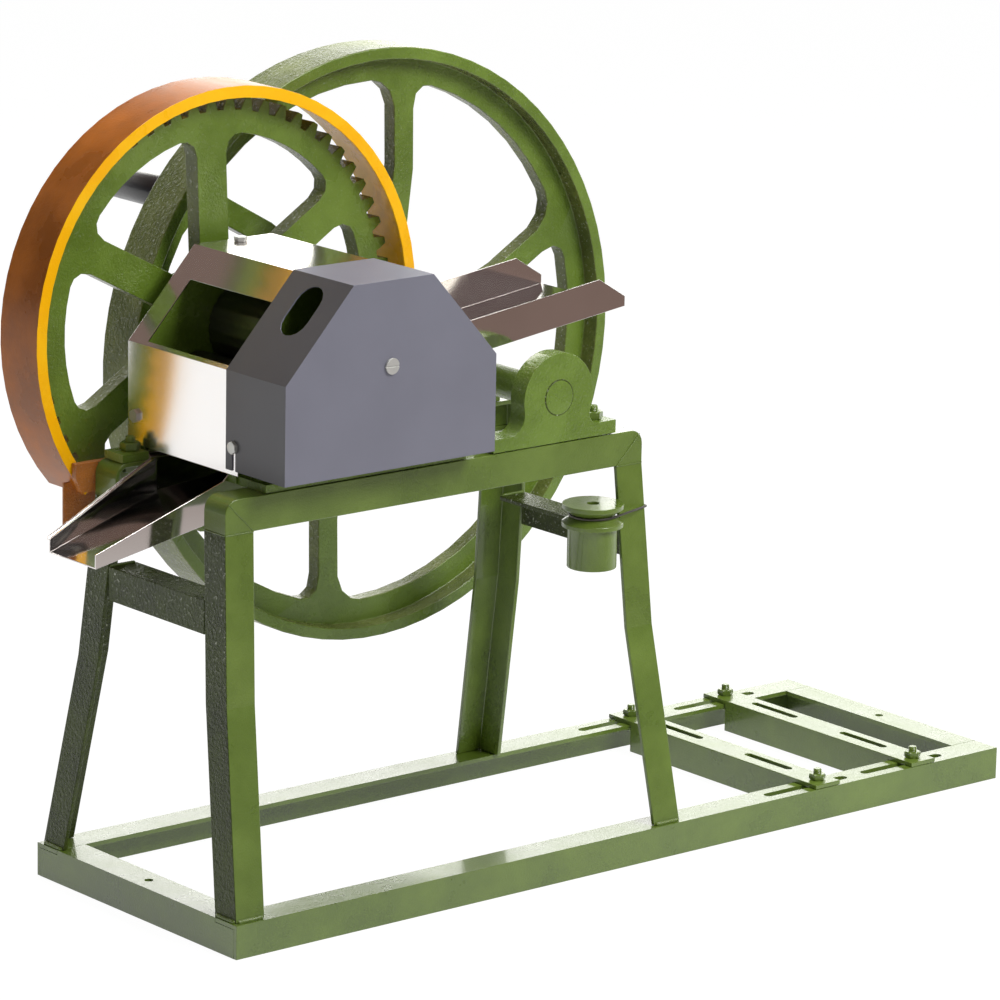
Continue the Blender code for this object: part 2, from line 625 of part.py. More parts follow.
ROLLERS = (("top", ROLLER_X, ROLLER_Z, TOP_JOURNAL_R), ("front", FRONT_ROLLER_X, LOW_Z, LOW_JOURNAL_R),
           ("rear", REAR_ROLLER_X, LOW_Z, LOW_JOURNAL_R))


def cheeks():
    """Cast side plates that carry the rollers in bushes, with a foot along each top rail."""
    bolt_low = STAND_TOP - ANGLE_T - GAP
    foot_top = FOOT_BOTTOM + CHEEK_FOOT_T
    bores = [circle(x, z, radius + BUSH_T + GAP, flats=True) for name, x, z, radius in ROLLERS]
    outline = hood_line(SHEET + GAP, FOOT_BOTTOM + OVERLAP / 2.0)
    near_left, near_right = CHEEK_FOOT["near"]
    left, right = CHEEK_FOOT["far"]
    near_edge, near_web = TOP_INSET + OVERLAP, NEAR_WEB_BACK - OVERLAP
    far_edge, far_web, far_end = FAR_FACE - ANGLE + OVERLAP, FAR_WEB_FRONT + OVERLAP, FAR_WEB_BACK - OVERLAP
    inner_left, inner_right = PAN_SPOUT_END - GAP, HOOD_RIGHT + GAP
    feet = {"near": box(near_left, near_right, near_edge, near_web),
            "far": [(left, far_edge), (inner_left, far_edge), (inner_left, far_web), (inner_right, far_web),
                    (inner_right, far_edge), (right, far_edge), (right, far_end), (left, far_end)]}
    for face, web in (("near", NEAR_WEB_FRONT), ("far", FAR_WEB_FRONT)):
        row = TOP_INSET + BOLT_SET if face == "near" else FAR_FACE - BOLT_SET
        holes = [circle(x, row, M12[0] + BOLT_PLAY, HOLE_ROUND, flats=True)
                 for x in CHEEK_BOLTS[face]]
        foot = plate(feet[face], FOOT_BOTTOM, foot_top, "Z", holes)
        solid = unite(plate(outline, web, web + WEB_T, "Y", bores), foot)
        if face == "far":
            solid = cut(solid, *hood_screws(GAP))
        add(face + "_cheek", solid, "cast_green", smooth=30)
        for name, x, z, radius in ROLLERS:
            bush("%s_%s_bush" % (face, name), x, z, radius, web, web + WEB_T)
        for side, x in zip(("left", "right"), CHEEK_BOLTS[face]):
            bolt("%s_cheek_bolt_%s" % (face, side), M12, x, row, bolt_low, foot_top + GAP)


def hood_screws(play):
    """Side and top screw of the hood into the far cheek's edges, or with play their tapped holes."""
    radius, flats, head = HOOD_SCREW
    row = FAR_WEB_FRONT + WEB_T / 2.0
    screws = []
    for axis, u, v, face, inward in (("X", row, HOOD_SCREW_Z, HOOD_LEFT, 1),
                                     ("Z", ROLLER_X, row, HOOD_TOP, -1)):
        seat = face - inward * GAP
        tip = face + inward * (HOOD_SCREW_LENGTH + play)
        shank = circle(u, v, radius + play, BOLT_ROUND, flats=play > 0.0)
        if play > 0.0:
            screws.append(plate(shank, *sorted((seat, tip)), axis))
            continue
        levels = [(hexagon(u, v, flats), seat - inward * head, seat), (shank, seat, tip)]
        if inward < 0:
            levels = [(outline, high, low) for outline, low, high in reversed(levels)]
        screws.append(stacked(levels, axis))
    return screws


def pedestal(foot_top):
    """The bearing's front outline: foot, right flank, round boss and concave left flank."""
    points = [(end, FOOT_BOTTOM + OVERLAP / 2.0) for end in BEARING_FOOT]
    halves = []
    for end, fillet in zip(BEARING_FOOT, BEARING_FILLETS):
        rise = SHAFT_Z - foot_top - fillet
        run = math.sqrt((BEARING_R + fillet) ** 2 - rise ** 2)
        tangent = math.degrees(math.atan2(rise, run))
        flank = arc(run, foot_top + fillet, fillet, 270.0, 180.0 - tangent, 5)
        boss = arc(0.0, SHAFT_Z, BEARING_R, -tangent, 90.0, BOLT_ROUND)
        halves.append([(abs(end - SHAFT_X), foot_top)] + flank + boss[1:])
    points += [(SHAFT_X + u, v) for u, v in halves[1]]
    return points + [(SHAFT_X - u, v) for u, v in reversed(halves[0][:-1])]


def bearings():
    """Cast pedestals of the flywheel shaft with their bushes and bolts."""
    foot_top = FOOT_BOTTOM + BEARING_FOOT_T
    bolt_low = STAND_TOP - ANGLE_T - GAP
    for face, y, inward in (("near", TOP_INSET, 1), ("far", FAR_FACE, -1)):
        row = y + inward * BOLT_SET
        front = plate(pedestal(foot_top), *sorted((y, y + inward * BEARING_W)))
        depth = sorted((y + inward * OVERLAP, y + inward * ANGLE))
        hub = plate(circle(SHAFT_X, SHAFT_Z, BEARING_HUB_R), *depth)
        foot = plate(box(BEARING_FOOT[0] + OVERLAP, BEARING_FOOT[1] - OVERLAP,
                         *sorted((y + inward * OVERLAP, y + inward * (ANGLE - OVERLAP)))),
                     FOOT_BOTTOM, foot_top - OVERLAP / 2.0, "Z")
        bore = plate(circle(SHAFT_X, SHAFT_Z, FLY_SHAFT_R + BUSH_T + GAP, flats=True), y - ANGLE - OVERLAP,
                     y + ANGLE + OVERLAP)
        drill = plate(circle(BEARING_BOLT, row, M12[0] + BOLT_PLAY, HOLE_ROUND, flats=True),
                      FOOT_BOTTOM - OVERLAP, foot_top + OVERLAP, "Z")
        add(face + "_shaft_bearing", cut(unite(front, hub, foot), bore, drill), "green",
            (SHAFT_X, y, SHAFT_Z), smooth=30)
        bush(face + "_shaft_bush", SHAFT_X, SHAFT_Z, FLY_SHAFT_R, *sorted((y, y + inward * ANGLE)))
        bolt(face + "_bearing_bolt", M12, BEARING_BOLT, row, bolt_low, foot_top + GAP)


def spur(x, z, module, teeth, phase, shift=0.0, addendum=1.0, dedendum=1.25, steps=2):
    """Involute gear outline with a tooth centred at the phase angle in degrees."""
    pitch_r = module * teeth / 2.0
    base_r = pitch_r * math.cos(PRESSURE)
    root_r = pitch_r - (dedendum - shift) * module
    tip_r = pitch_r + (addendum + shift) * module
    width = module * (math.pi / 2.0 + 2.0 * shift * math.tan(PRESSURE)) - BACKLASH

    def half_angle(radius):
        roll = math.acos(min(1.0, base_r / max(radius, base_r)))
        return width / (2.0 * pitch_r) + math.tan(PRESSURE) - PRESSURE - math.tan(roll) + roll

    start_r = max(root_r, base_r)
    radii = [start_r + (tip_r - start_r) * (i / steps) ** FLANK_CROWD for i in range(steps + 1)]
    if root_r < base_r:
        radii.insert(0, root_r)
    points = []
    for tooth in range(teeth):
        centre = math.radians(phase) + 2.0 * math.pi * tooth / teeth
        flanks = [(r, -half_angle(r)) for r in radii] + [(r, half_angle(r)) for r in reversed(radii)]
        points += [(x + r * math.cos(centre + t), z + r * math.sin(centre + t)) for r, t in flanks]
    return points


def keyed(x, z, radius, play):
    """A bore outline with a keyway at its top."""
    half = KEY_W / 2.0 + play
    reach = radius + play
    side = math.degrees(math.asin(half / reach))
    top = z + radius + KEY_DEPTH / 2.0 + play
    slot = [(x - half, top), (x + half, top)]
    return arc(x, z, reach / math.cos(math.pi / ROUND), 90.0 - side, -270.0 + side, ROUND - 2) + slot


def spoke_windows(x, z, count, angle, radii, width, fillets, swirl=0.0):
    """Openings between spokes, with round fillets where the spokes meet hub and rim."""
    inner, outer = radii

    def edge(side):
        points = []
        for radius, fillet, way in ((inner, fillets[0], 1), (outer, fillets[1], -1)):
            turns = [math.radians(a) for a in FILLET_TURNS]
            part = [(radius + way * fillet * (1.0 - math.cos(t)), fillet * (1.0 - math.sin(t)))
                    for t in turns]
            points += part if way > 0 else part[::-1]
        middle = [(points[3][0] + (points[4][0] - points[3][0]) * s, 0.0) for s in SPOKE_POINTS]
        points = points[:4] + (middle if swirl else []) + points[4:]
        line = []
        for r, flare in points:
            lean = math.radians(swirl) * (outer - r) / (outer - inner)
            line.append((r, side * math.asin((width / 2.0 + flare) / r) - lean))
        return line

    windows = []
    for k in range(count):
        a = math.radians(angle + 360.0 * k / count)
        b = math.radians(angle + 360.0 * (k + 1) / count)
        up = [(r, a + t) for r, t in edge(1)]
        down = [(r, b + t) for r, t in reversed(edge(-1))]
        rim = [(outer, up[-1][1] + (down[0][1] - up[-1][1]) * i / 6.0) for i in range(1, 6)]
        hub = [(inner, down[-1][1] + (up[0][1] - down[-1][1]) * i / 2.0) for i in range(1, 2)]
        windows.append([(x + r * math.cos(t), z + r * math.sin(t)) for r, t in up + rim + down + hub])
    return windows


def roller_outline(x, z, radius):
    """Round roller with shallow flutes along it."""
    pitch = 2.0 * math.pi / FLUTES
    points = []
    for i in range(FLUTES):
        for share, depth in ((-FLUTE_SHARE / 2.0, 0.0), (FLUTE_SHARE / 2.0, 0.0), (0.5, FLUTE_DEPTH)):
            turn = (i + share) * pitch
            points.append((x + (radius - depth) * math.cos(turn), z + (radius - depth) * math.sin(turn)))
    return points


def rollers():
    """Three rollers with their shafts, and the gears on their near ends."""
    front_end = ROLLER_GEAR_FRONT - SHAFT_PROUD
    top_shaft_end = GEAR_BACK + GEAR_HUB_PROUD + SHAFT_PROUD
    low_shaft_end = FAR_WEB_BACK + SHAFT_PROUD
    for name, x, z, journal in ROLLERS:
        top = name == "top"
        radius = (TOP_PITCH_R if top else LOW_PITCH_R) - NIP / 2.0
        shaft = circle(x, z, journal)
        levels = [(shaft, front_end, ROLLER_NEAR), (roller_outline(x, z, radius), ROLLER_NEAR, ROLLER_FAR),
                  (shaft, ROLLER_FAR, top_shaft_end if top else low_shaft_end)]
        solid = stacked(levels)
        if top:
            seat = box(x - KEY_W / 2.0, x + KEY_W / 2.0, z + journal - KEY_DEPTH / 2.0,
                       z + journal + KEY_DEPTH)
            solid = cut(solid, plate(seat, GEAR_FRONT - GEAR_HUB_PROUD - GAP, top_shaft_end + OVERLAP))
        add(name + "_roller", solid, "bright", (x, ROLLER_NEAR, z), smooth=20)
    top_pitch, low_pitch = 360.0 / TOP_TEETH, 360.0 / LOW_TEETH
    drop = math.degrees(math.asin((ROLLER_Z - LOW_Z) / (TOP_PITCH_R + LOW_PITCH_R)))
    lines = {"front": 180.0 + drop, "rear": -drop}
    for name, x, z, journal in ROLLERS:
        if name == "top":
            teeth, phase = TOP_TEETH, lines["front"]
        else:
            passed = ((lines[name] - lines["front"]) / top_pitch) % 1.0
            teeth, phase = LOW_TEETH, lines[name] + 180.0 + low_pitch * (passed + 0.5)
        outline = spur(x, z, ROLLER_MODULE, teeth, phase)
        bore = circle(x, z, journal + GAP, flats=True)
        solid = plate(outline, ROLLER_GEAR_FRONT, ROLLER_GEAR_FRONT + ROLLER_GEAR_W, "Y", [bore])
        add(name + "_roller_gear", solid, "iron", (x, ROLLER_GEAR_FRONT, z), smooth=25)


def drive_train():
    """Spoked spur gear with its key, pinion and flywheel shaft."""
    shift = -PINION_SHIFT
    outline = spur(ROLLER_X, ROLLER_Z, DRIVE_MODULE, GEAR_TEETH, MESH_ANGLE, shift, ADDENDUM, DEDENDUM)
    windows = spoke_windows(ROLLER_X, ROLLER_Z, GEAR_SPOKES, GEAR_SPOKE_ANGLE, GEAR_WINDOW, GEAR_SPOKE_W,
                            GEAR_FILLETS)
    bore = keyed(ROLLER_X, ROLLER_Z, TOP_JOURNAL_R, GAP)
    hub_low, hub_high = GEAR_FRONT - GEAR_HUB_PROUD, GEAR_BACK + GEAR_HUB_PROUD
    hub = circle(ROLLER_X, ROLLER_Z, GEAR_HUB_R)
    levels = [(hub, hub_low, GEAR_FRONT), (outline, GEAR_FRONT, GEAR_BACK, *windows),
              (hub, GEAR_BACK, hub_high)]
    middle = (ROLLER_X, GEAR_FRONT, ROLLER_Z)
    add("drive_gear", stacked(levels, "Y", [bore]), "cast_green", middle, smooth=25)
    half = KEY_W / 2.0 - GAP / 2.0
    key = box(ROLLER_X - half, ROLLER_X + half, ROLLER_Z + TOP_JOURNAL_R - KEY_DEPTH / 2.0 + GAP,
              ROLLER_Z + TOP_JOURNAL_R + KEY_DEPTH / 2.0)
    add("drive_gear_key", plate(key, hub_low, hub_high), "bright", middle)
    pinion = spur(SHAFT_X, SHAFT_Z, DRIVE_MODULE, PINION_TEETH, MESH_ANGLE + 180.0 + 180.0 / PINION_TEETH,
                  PINION_SHIFT, ADDENDUM, DEDENDUM, 4)
    bore = circle(SHAFT_X, SHAFT_Z, FLY_SHAFT_R + GAP, flats=True)
    low = GEAR_MID - PINION_W / 2.0
    solid = plate(pinion, low, low + PINION_W, "Y", [bore])
    add("pinion", solid, "iron", (SHAFT_X, low, SHAFT_Z), smooth=25)
    shaft = circle(SHAFT_X, SHAFT_Z, FLY_SHAFT_R)
    end = WEB_BACK + FLY_HUB_PROUD + SHAFT_PROUD
    add("flywheel_shaft", plate(shaft, TOP_INSET, end), "bright", (SHAFT_X, TOP_INSET, SHAFT_Z), smooth=30)


def flywheel():
    """Deep rim with a recessed web ring, curved spokes, a hub and the crank's hole."""
    facets = FLY_ROUND
    rim = plate(circle(SHAFT_X, SHAFT_Z, FLY_R, facets), FLY_FRONT, FLY_FRONT + FLY_W, "Y",
                [circle(SHAFT_X, SHAFT_Z, FLY_R - FLY_RIM_T, facets)])
    windows = spoke_windows(SHAFT_X, SHAFT_Z, FLY_SPOKES, FLY_SPOKE_ANGLE, FLY_WINDOW, FLY_SPOKE_W,
                            FLY_FILLETS, FLY_SWIRL)
    ring = circle(SHAFT_X, SHAFT_Z, FLY_R - FLY_RIM_T / 2.0, facets)
    drill = circle(CRANK_X, CRANK_Z, CRANK_NUT[0] + GAP, HOLE_ROUND, flats=True)
    hub = circle(SHAFT_X, SHAFT_Z, FLY_HUB_R)
    levels = [(hub, WEB_FRONT - FLY_HUB_PROUD, WEB_FRONT), (ring, WEB_FRONT, WEB_BACK, *windows, drill),
              (hub, WEB_BACK, WEB_BACK + FLY_HUB_PROUD)]
    web = stacked(levels, "Y", [circle(SHAFT_X, SHAFT_Z, FLY_SHAFT_R + GAP, flats=True)])
    add("flywheel", unite(web, rim), "green", (SHAFT_X, FLY_FRONT, SHAFT_Z), smooth=25)


def crank():
    """Crank bolt through the flywheel's boss, and the grip that spins on it."""
    radius, flats, nut = CRANK_NUT
    front = WEB_FRONT - GAP
    collar_r, collar = CRANK_COLLAR
    head_r, head = CRANK_HEAD
    levels = [(hexagon(CRANK_X, CRANK_Z, flats), front - nut, front),
              (circle(CRANK_X, CRANK_Z, radius), front, CRANK_SEAT),
              (circle(CRANK_X, CRANK_Z, collar_r), CRANK_SEAT, CRANK_SEAT + collar),
              (circle(CRANK_X, CRANK_Z, CRANK_PIN_R), CRANK_SEAT + collar, CRANK_END - head),
              (circle(CRANK_X, CRANK_Z, head_r), CRANK_END - head, CRANK_END)]
    add("crank_bolt", stacked(levels), "zinc", (CRANK_X, CRANK_SEAT, CRANK_Z), smooth=30)
    profile = [(GRIP_BORE_R, GRIP_FRONT), (GRIP_R - GRIP_ROUND, GRIP_FRONT),
               (GRIP_R, GRIP_FRONT + GRIP_ROUND), (GRIP_R, GRIP_BACK - GRIP_ROUND),
               (GRIP_R - GRIP_ROUND, GRIP_BACK), (GRIP_BORE_R, GRIP_BACK)]
    add("crank_grip", turned(profile, CRANK_X, CRANK_Z), "black", (CRANK_X, GRIP_FRONT, CRANK_Z), smooth=40)


def along(start, end, share):
    return start[0] + share * (end[0] - start[0]), start[1] + share * (end[1] - start[1])


def hood():
    """Folded stainless hood over the rollers, with the discharge mouth left and the feed mouth right."""
    line, inside = hood_line(0.0, HOOD_BOTTOM), hood_line(SHEET, HOOD_BOTTOM)
    shell = plate(line + inside[::-1], HOOD_FRONT, HOOD_BACK)
    reach = 4.0 * SHEET
    low, high = (along(line[1], line[2], share) for share in MOUTH_RISE)
    mouth = [(low[0] - reach, low[1] + reach), (low[0] + reach, low[1] - reach),
             (high[0] + reach, high[1] - reach), (high[0] - reach, high[1] + reach)]
    sill = chute_floor(HOOD_RIGHT) - SHEET - GAP
    top = along(line[4], line[3], FEED_RISE)
    feed = [(HOOD_RIGHT - reach, sill), (HOOD_RIGHT + reach, sill), (HOOD_RIGHT + reach, top[1]),
            (top[0] + reach, top[1] + reach), (top[0] - reach, top[1] - reach)]
    tools = [plate(mouth, COVER_BACK + OVERLAP, MOUTH_BACK),
             plate(feed, CHUTE_FRONT - GAP, CHUTE_BACK + GAP)]
    add("hood", cut(shell, *tools, *hood_screws(GAP)), "mirror")
    for side, screw in zip(("side", "top"), hood_screws(0.0)):
        add("hood_screw_" + side, screw, "zinc")


def gear_cover():
    """Satin cover over the roller gears, with a hand hole, an oil plug and an oil can's notch."""
    outside = -SHEET - GAP
    shell = tray(hood_line(outside, COVER_BOTTOM), hood_line(-GAP, COVER_BOTTOM), COVER_FRONT,
                 COVER_FRONT + SHEET, COVER_BACK)
    line = hood_line(outside, COVER_BOTTOM)
    middle = along(line[1], line[2], 2.0 / 3.0)
    slant = math.atan2(line[2][1] - line[1][1], line[2][0] - line[1][0])
    window = plate(obround(0.0, 0.0, *HAND_HOLE), -4.0 * SHEET, 4.0 * SHEET, "Z")
    place = Matrix.Translation((middle[0], COVER_FRONT + HAND_HOLE_SET, middle[1]))
    window.transform(place @ Matrix.Rotation(-slant, 4, "Y"))
    plug = plate(circle(ROLLER_X, ROLLER_Z, PLUG_NECK_R + GAP, 24, flats=True), COVER_FRONT - SHEET,
                 COVER_FRONT + 2.0 * SHEET)
    notch = plate(circle(COVER_BACK - NOTCH_SET, COVER_BOTTOM + NOTCH_HEIGHT, NOTCH_R, HOLE_ROUND),
                  line[0][0] - SHEET, line[0][0] + 2.0 * SHEET, "X")
    throat = plate(box(COVER_BACK - NOTCH_SET - NOTCH_R / 2.0, COVER_BACK - NOTCH_SET + NOTCH_R / 2.0,
                       COVER_BOTTOM - SHEET, COVER_BOTTOM + NOTCH_HEIGHT),
                   line[0][0] - SHEET, line[0][0] + 2.0 * SHEET, "X")
    add("gear_cover", cut(shell, window, plug, notch, throat), "satin")
    head = COVER_FRONT - GAP
    neck_end = COVER_FRONT + SHEET + GAP
    levels = [(circle(ROLLER_X, ROLLER_Z, PLUG_R, 24), head - PLUG_HEAD, head),
              (circle(ROLLER_X, ROLLER_Z, PLUG_NECK_R, 24), head, neck_end),
              (circle(ROLLER_X, ROLLER_Z, PLUG_R - SHEET, 24), neck_end, neck_end + PLUG_HEAD)]
    solid = stacked(levels)
    slot = plate(box(ROLLER_X - PLUG_R, ROLLER_X + PLUG_R, ROLLER_Z - SHEET / 2.0, ROLLER_Z + SHEET / 2.0),
                 head - 2.0 * PLUG_HEAD, head - PLUG_HEAD / 2.0)
    add("cover_plug", cut(solid, slot), "zinc", (ROLLER_X, head, ROLLER_Z), smooth=30)


def chute_floor(x):
    return CHUTE_FLOOR + CHUTE_SLOPE * (x - CHUTE_START)


def tray_section(x, floor, near_top, back, ledge, lip, rim):
    """Section of the juice pan: near wall, floor, far wall and a ledge with a rim beyond it."""
    front, end = PAN_FRONT, back + lip
    points = [(front, floor - SHEET), (back, floor - SHEET), (back, ledge - SHEET), (end, ledge - SHEET),
              (end, ledge + rim), (end - SHEET, ledge + rim), (end - SHEET, ledge), (back - SHEET, ledge),
              (back - SHEET, floor), (front + SHEET, floor), (front + SHEET, near_top), (front, near_top)]
    return [(x, y, z) for y, z in points]


def trough(front, back, floor, wall):
    """Section of a sheet trough across Y, as (y, z) points."""
    top = floor + wall
    return [(front, floor - SHEET), (back, floor - SHEET), (back, top), (back - SHEET, top),
            (back - SHEET, floor), (front + SHEET, floor), (front + SHEET, top), (front, top)]


def troughs():
    """Feed chute through the hood's right mouth, and the juice pan under the rollers with its spout."""
    stations = [(CHUTE_START, CHUTE_WALL), (CHUTE_END - CHUTE_CHAMFER, CHUTE_WALL), (CHUTE_END, CHUTE_LIP)]
    sections = [[(x, y, z) for y, z in trough(CHUTE_FRONT, CHUTE_BACK, chute_floor(x), wall)]
                for x, wall in stations]
    add("feed_chute", loft(sections), "mirror")
    ledge = FOOT_BOTTOM + SHEET
    rail_edge = FAR_FACE - ANGLE - GAP
    rise = PAN_TIP_Z + PAN_SLOPE * (PAN_SPOUT_END - PAN_TIP)
    low = PAN_TIP_Z + PAN_SLOPE * (PAN_TRAY - PAN_TIP)
    high = low + PAN_TRAY_SLOPE * (PAN_END - PAN_TRAY)
    sections = [
        tray_section(PAN_TIP, PAN_TIP_Z, PAN_TIP_Z + PAN_TIP_WALL, PAN_FRONT + PAN_TIP_WIDTH,
                     PAN_TIP_Z + PAN_TIP_WALL, PAN_LIP, SHEET),
        tray_section(PAN_SPOUT_END, rise, ledge, rail_edge - PAN_LIP, ledge, PAN_LIP, SHEET),
        tray_section(PAN_TRAY, low, ledge + PAN_RIM, rail_edge, ledge, PAN_BACK - rail_edge, PAN_RIM),
        tray_section(PAN_END, high, ledge + PAN_RIM, rail_edge, ledge, PAN_BACK - rail_edge, PAN_RIM)]
    end = plate(box(PAN_FRONT + SHEET / 2.0, rail_edge - SHEET / 2.0, high - SHEET / 2.0,
                    ledge + PAN_RIM / 2.0), PAN_END - 2.0 * SHEET, PAN_END - SHEET, "X")
    add("juice_pan", unite(loft(sections), end), "mirror")


def guard():
    """Sheet band round the big gear with a lip and an end tab, and the bracket that holds it."""
    lip_r, band_r = GUARD_R - GUARD_LIP, GUARD_R - GUARD_T
    section = [(GUARD_R, GUARD_FRONT), (GUARD_R, GUARD_BACK), (band_r, GUARD_BACK),
               (band_r, GUARD_FRONT + GUARD_T), (lip_r, GUARD_FRONT + GUARD_T), (lip_r, GUARD_FRONT)]
    start = MESH_ANGLE + GUARD_OPEN
    sections = []
    for i in range(GUARD_STEPS + 1):
        turn = math.radians(start + (GUARD_END - start) * i / GUARD_STEPS)
        sections.append([(ROLLER_X + r * math.cos(turn), y, ROLLER_Z + r * math.sin(turn))
                         for r, y in section])
    tab_front = GUARD_FRONT + GUARD_TAB_SET
    tab = plate(box(*GUARD_TAB), tab_front, tab_front + GUARD_TAB_T)
    add("gear_guard", unite(loft(sections), tab), "yellow", smooth=30)
    left, right, low, high = BRACKET
    slope = (high - low) / 2.0
    outline = [(left + slope / 2.0, low), (right, low), (right, high), (left, high), (left, low + slope)]
    add("guard_bracket", plate(outline, FAR_FACE + GAP, GUARD_FRONT - GAP), "orange")


def spare_pulley():
    """Motor pulley hung on the near right leg by a loop of wire in its groove."""
    groove_z = PULLEY_TOP - PULLEY_RIM - PULLEY_GROOVE_W / 2.0
    corner_x, corner_y = leg_corner("right", "near", PULLEY_TOP)
    x = corner_x - ANGLE - GAP - PULLEY_R
    y = corner_y + ANGLE_T / 2.0
    bottom = PULLEY_TOP - PULLEY_HEIGHT
    rim_low = PULLEY_TOP - 2.0 * PULLEY_RIM - PULLEY_GROOVE_W
    profile = [(PULLEY_BORE_R, PULLEY_TOP), (PULLEY_R, PULLEY_TOP), (PULLEY_R, PULLEY_TOP - PULLEY_RIM),
               (PULLEY_GROOVE_R, groove_z + WIRE_R), (PULLEY_GROOVE_R, groove_z - WIRE_R),
               (PULLEY_R, rim_low + PULLEY_RIM), (PULLEY_R, rim_low), (PULLEY_HUB_R, rim_low),
               (PULLEY_HUB_R, bottom), (PULLEY_BORE_R, bottom)]
    add("motor_pulley", turned(profile, x, y, "Z"), "green", (x, y, bottom), smooth=30)
    reach = WIRE_R + GAP
    leg_x, leg_y = leg_corner("right", "near", groove_z)
    side, front, back = leg_x + reach, leg_y - reach, leg_y + ANGLE + reach
    inner = leg_x - ANGLE_T
    turns = []
    for u, v, way in ((inner, back, 1), (side, front, -1)):
        lead = math.hypot(u - x, v - y)
        tangent = math.acos((PULLEY_GROOVE_R + reach) / lead)
        turns.append(math.degrees(math.atan2(v - y, u - x) + way * tangent))
    bend = arc(x, y, PULLEY_GROOVE_R + reach, turns[0], turns[1] + 360.0, HOLE_ROUND)
    route = bend + [(side - WIRE_R, front), (side, front + WIRE_R), (side, back - WIRE_R),
                    (side - WIRE_R, back), (inner, back)]
    curve = bpy.data.curves.new("tie_wire", "CURVE")
    curve.dimensions = "3D"
    curve.bevel_depth = WIRE_R * MM
    curve.bevel_resolution = 1
    spline = curve.splines.new("POLY")
    spline.points.add(len(route) - 1)
    start = Vector((x, y, groove_z))
    for point, (u, v) in zip(spline.points, route):
        point.co = (*((Vector((u, v, groove_z)) - start) * MM), 1.0)
    spline.use_cyclic_u = True
    curve.materials.append(material("tie_wire", "zinc"))
    wire = bpy.data.objects.new("tie_wire", curve)
    wire.location = (start - ORIGIN) * MM
    bpy.context.scene.collection.objects.link(wire)


for existing in list(bpy.data.objects):
    bpy.data.objects.remove(existing)
base_rails()
stand()
motor_rails()
cheeks()
bearings()
rollers()
drive_train()
flywheel()
crank()
hood()
gear_cover()
troughs()
guard()
spare_pulley()
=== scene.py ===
"""Sugarcane mill on an angle iron stand: finishes, welds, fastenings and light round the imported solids."""
import json
import math

import bmesh
import bpy
import numpy as np
from mathutils import Matrix, Vector

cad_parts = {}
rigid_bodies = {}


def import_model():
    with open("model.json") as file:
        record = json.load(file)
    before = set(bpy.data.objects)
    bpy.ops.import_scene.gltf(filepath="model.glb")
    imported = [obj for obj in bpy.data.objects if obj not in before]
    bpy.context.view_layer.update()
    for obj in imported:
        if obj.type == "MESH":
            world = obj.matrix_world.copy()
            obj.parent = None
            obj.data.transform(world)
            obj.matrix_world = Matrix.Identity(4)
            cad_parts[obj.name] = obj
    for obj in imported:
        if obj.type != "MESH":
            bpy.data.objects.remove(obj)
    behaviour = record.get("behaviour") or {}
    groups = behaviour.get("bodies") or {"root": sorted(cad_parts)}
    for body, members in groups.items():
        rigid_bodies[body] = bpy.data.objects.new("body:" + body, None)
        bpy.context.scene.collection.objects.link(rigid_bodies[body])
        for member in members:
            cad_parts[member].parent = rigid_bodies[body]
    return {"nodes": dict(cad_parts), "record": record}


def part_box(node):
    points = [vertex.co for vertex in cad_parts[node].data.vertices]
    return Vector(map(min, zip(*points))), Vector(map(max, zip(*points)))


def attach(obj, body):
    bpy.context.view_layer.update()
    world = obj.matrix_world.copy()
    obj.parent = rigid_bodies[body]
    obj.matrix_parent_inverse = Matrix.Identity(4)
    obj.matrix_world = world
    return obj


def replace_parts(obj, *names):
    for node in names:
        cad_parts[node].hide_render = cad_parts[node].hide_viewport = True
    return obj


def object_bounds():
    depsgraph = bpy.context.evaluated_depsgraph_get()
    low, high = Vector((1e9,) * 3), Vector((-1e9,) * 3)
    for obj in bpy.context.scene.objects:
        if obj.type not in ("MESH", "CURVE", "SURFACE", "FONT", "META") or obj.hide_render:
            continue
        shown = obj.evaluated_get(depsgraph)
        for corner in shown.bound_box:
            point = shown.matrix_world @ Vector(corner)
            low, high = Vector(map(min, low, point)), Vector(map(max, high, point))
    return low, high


for spare in list(bpy.data.objects):
    bpy.data.objects.remove(spare)
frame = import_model()
cad_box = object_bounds()

# The camera stands as the photograph was taken, 5.5 m back from the near left corner of the base and a
# metre above the flywheel. Lengths are millimetres from that corner.
MM = 0.001
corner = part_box("base_near_rail")[0]
SENSOR, FOCAL = 36.0, 195.6
STANDPOINT = (-3315.5, -4383.5, 1870.1)
HEADING, DROP, ROLL = math.radians(39.927), math.radians(13.915), math.radians(1.116)


def at(x, y, z):
    """The near left corner of the base plus x, y and z millimetres."""
    return corner + Vector((x, y, z)) * MM


ahead = Vector((math.sin(HEADING) * math.cos(DROP), math.cos(HEADING) * math.cos(DROP), -math.sin(DROP)))
side = Vector((math.cos(HEADING), -math.sin(HEADING), 0.0))
up = side.cross(ahead)
right = math.cos(ROLL) * side + math.sin(ROLL) * up
above = math.cos(ROLL) * up - math.sin(ROLL) * side
lens = bpy.data.cameras.new("camera")
lens.sensor_width = SENSOR
lens.lens = FOCAL
lens.clip_end = 60.0
camera = bpy.data.objects.new("camera", lens)
turn = Matrix((right, above, -ahead)).transposed().to_4x4()
camera.matrix_world = Matrix.Translation(at(*STANDPOINT)) @ turn
bpy.context.scene.collection.objects.link(camera)
bpy.context.scene.camera = camera
bpy.context.scene.view_settings.view_transform = "Standard"


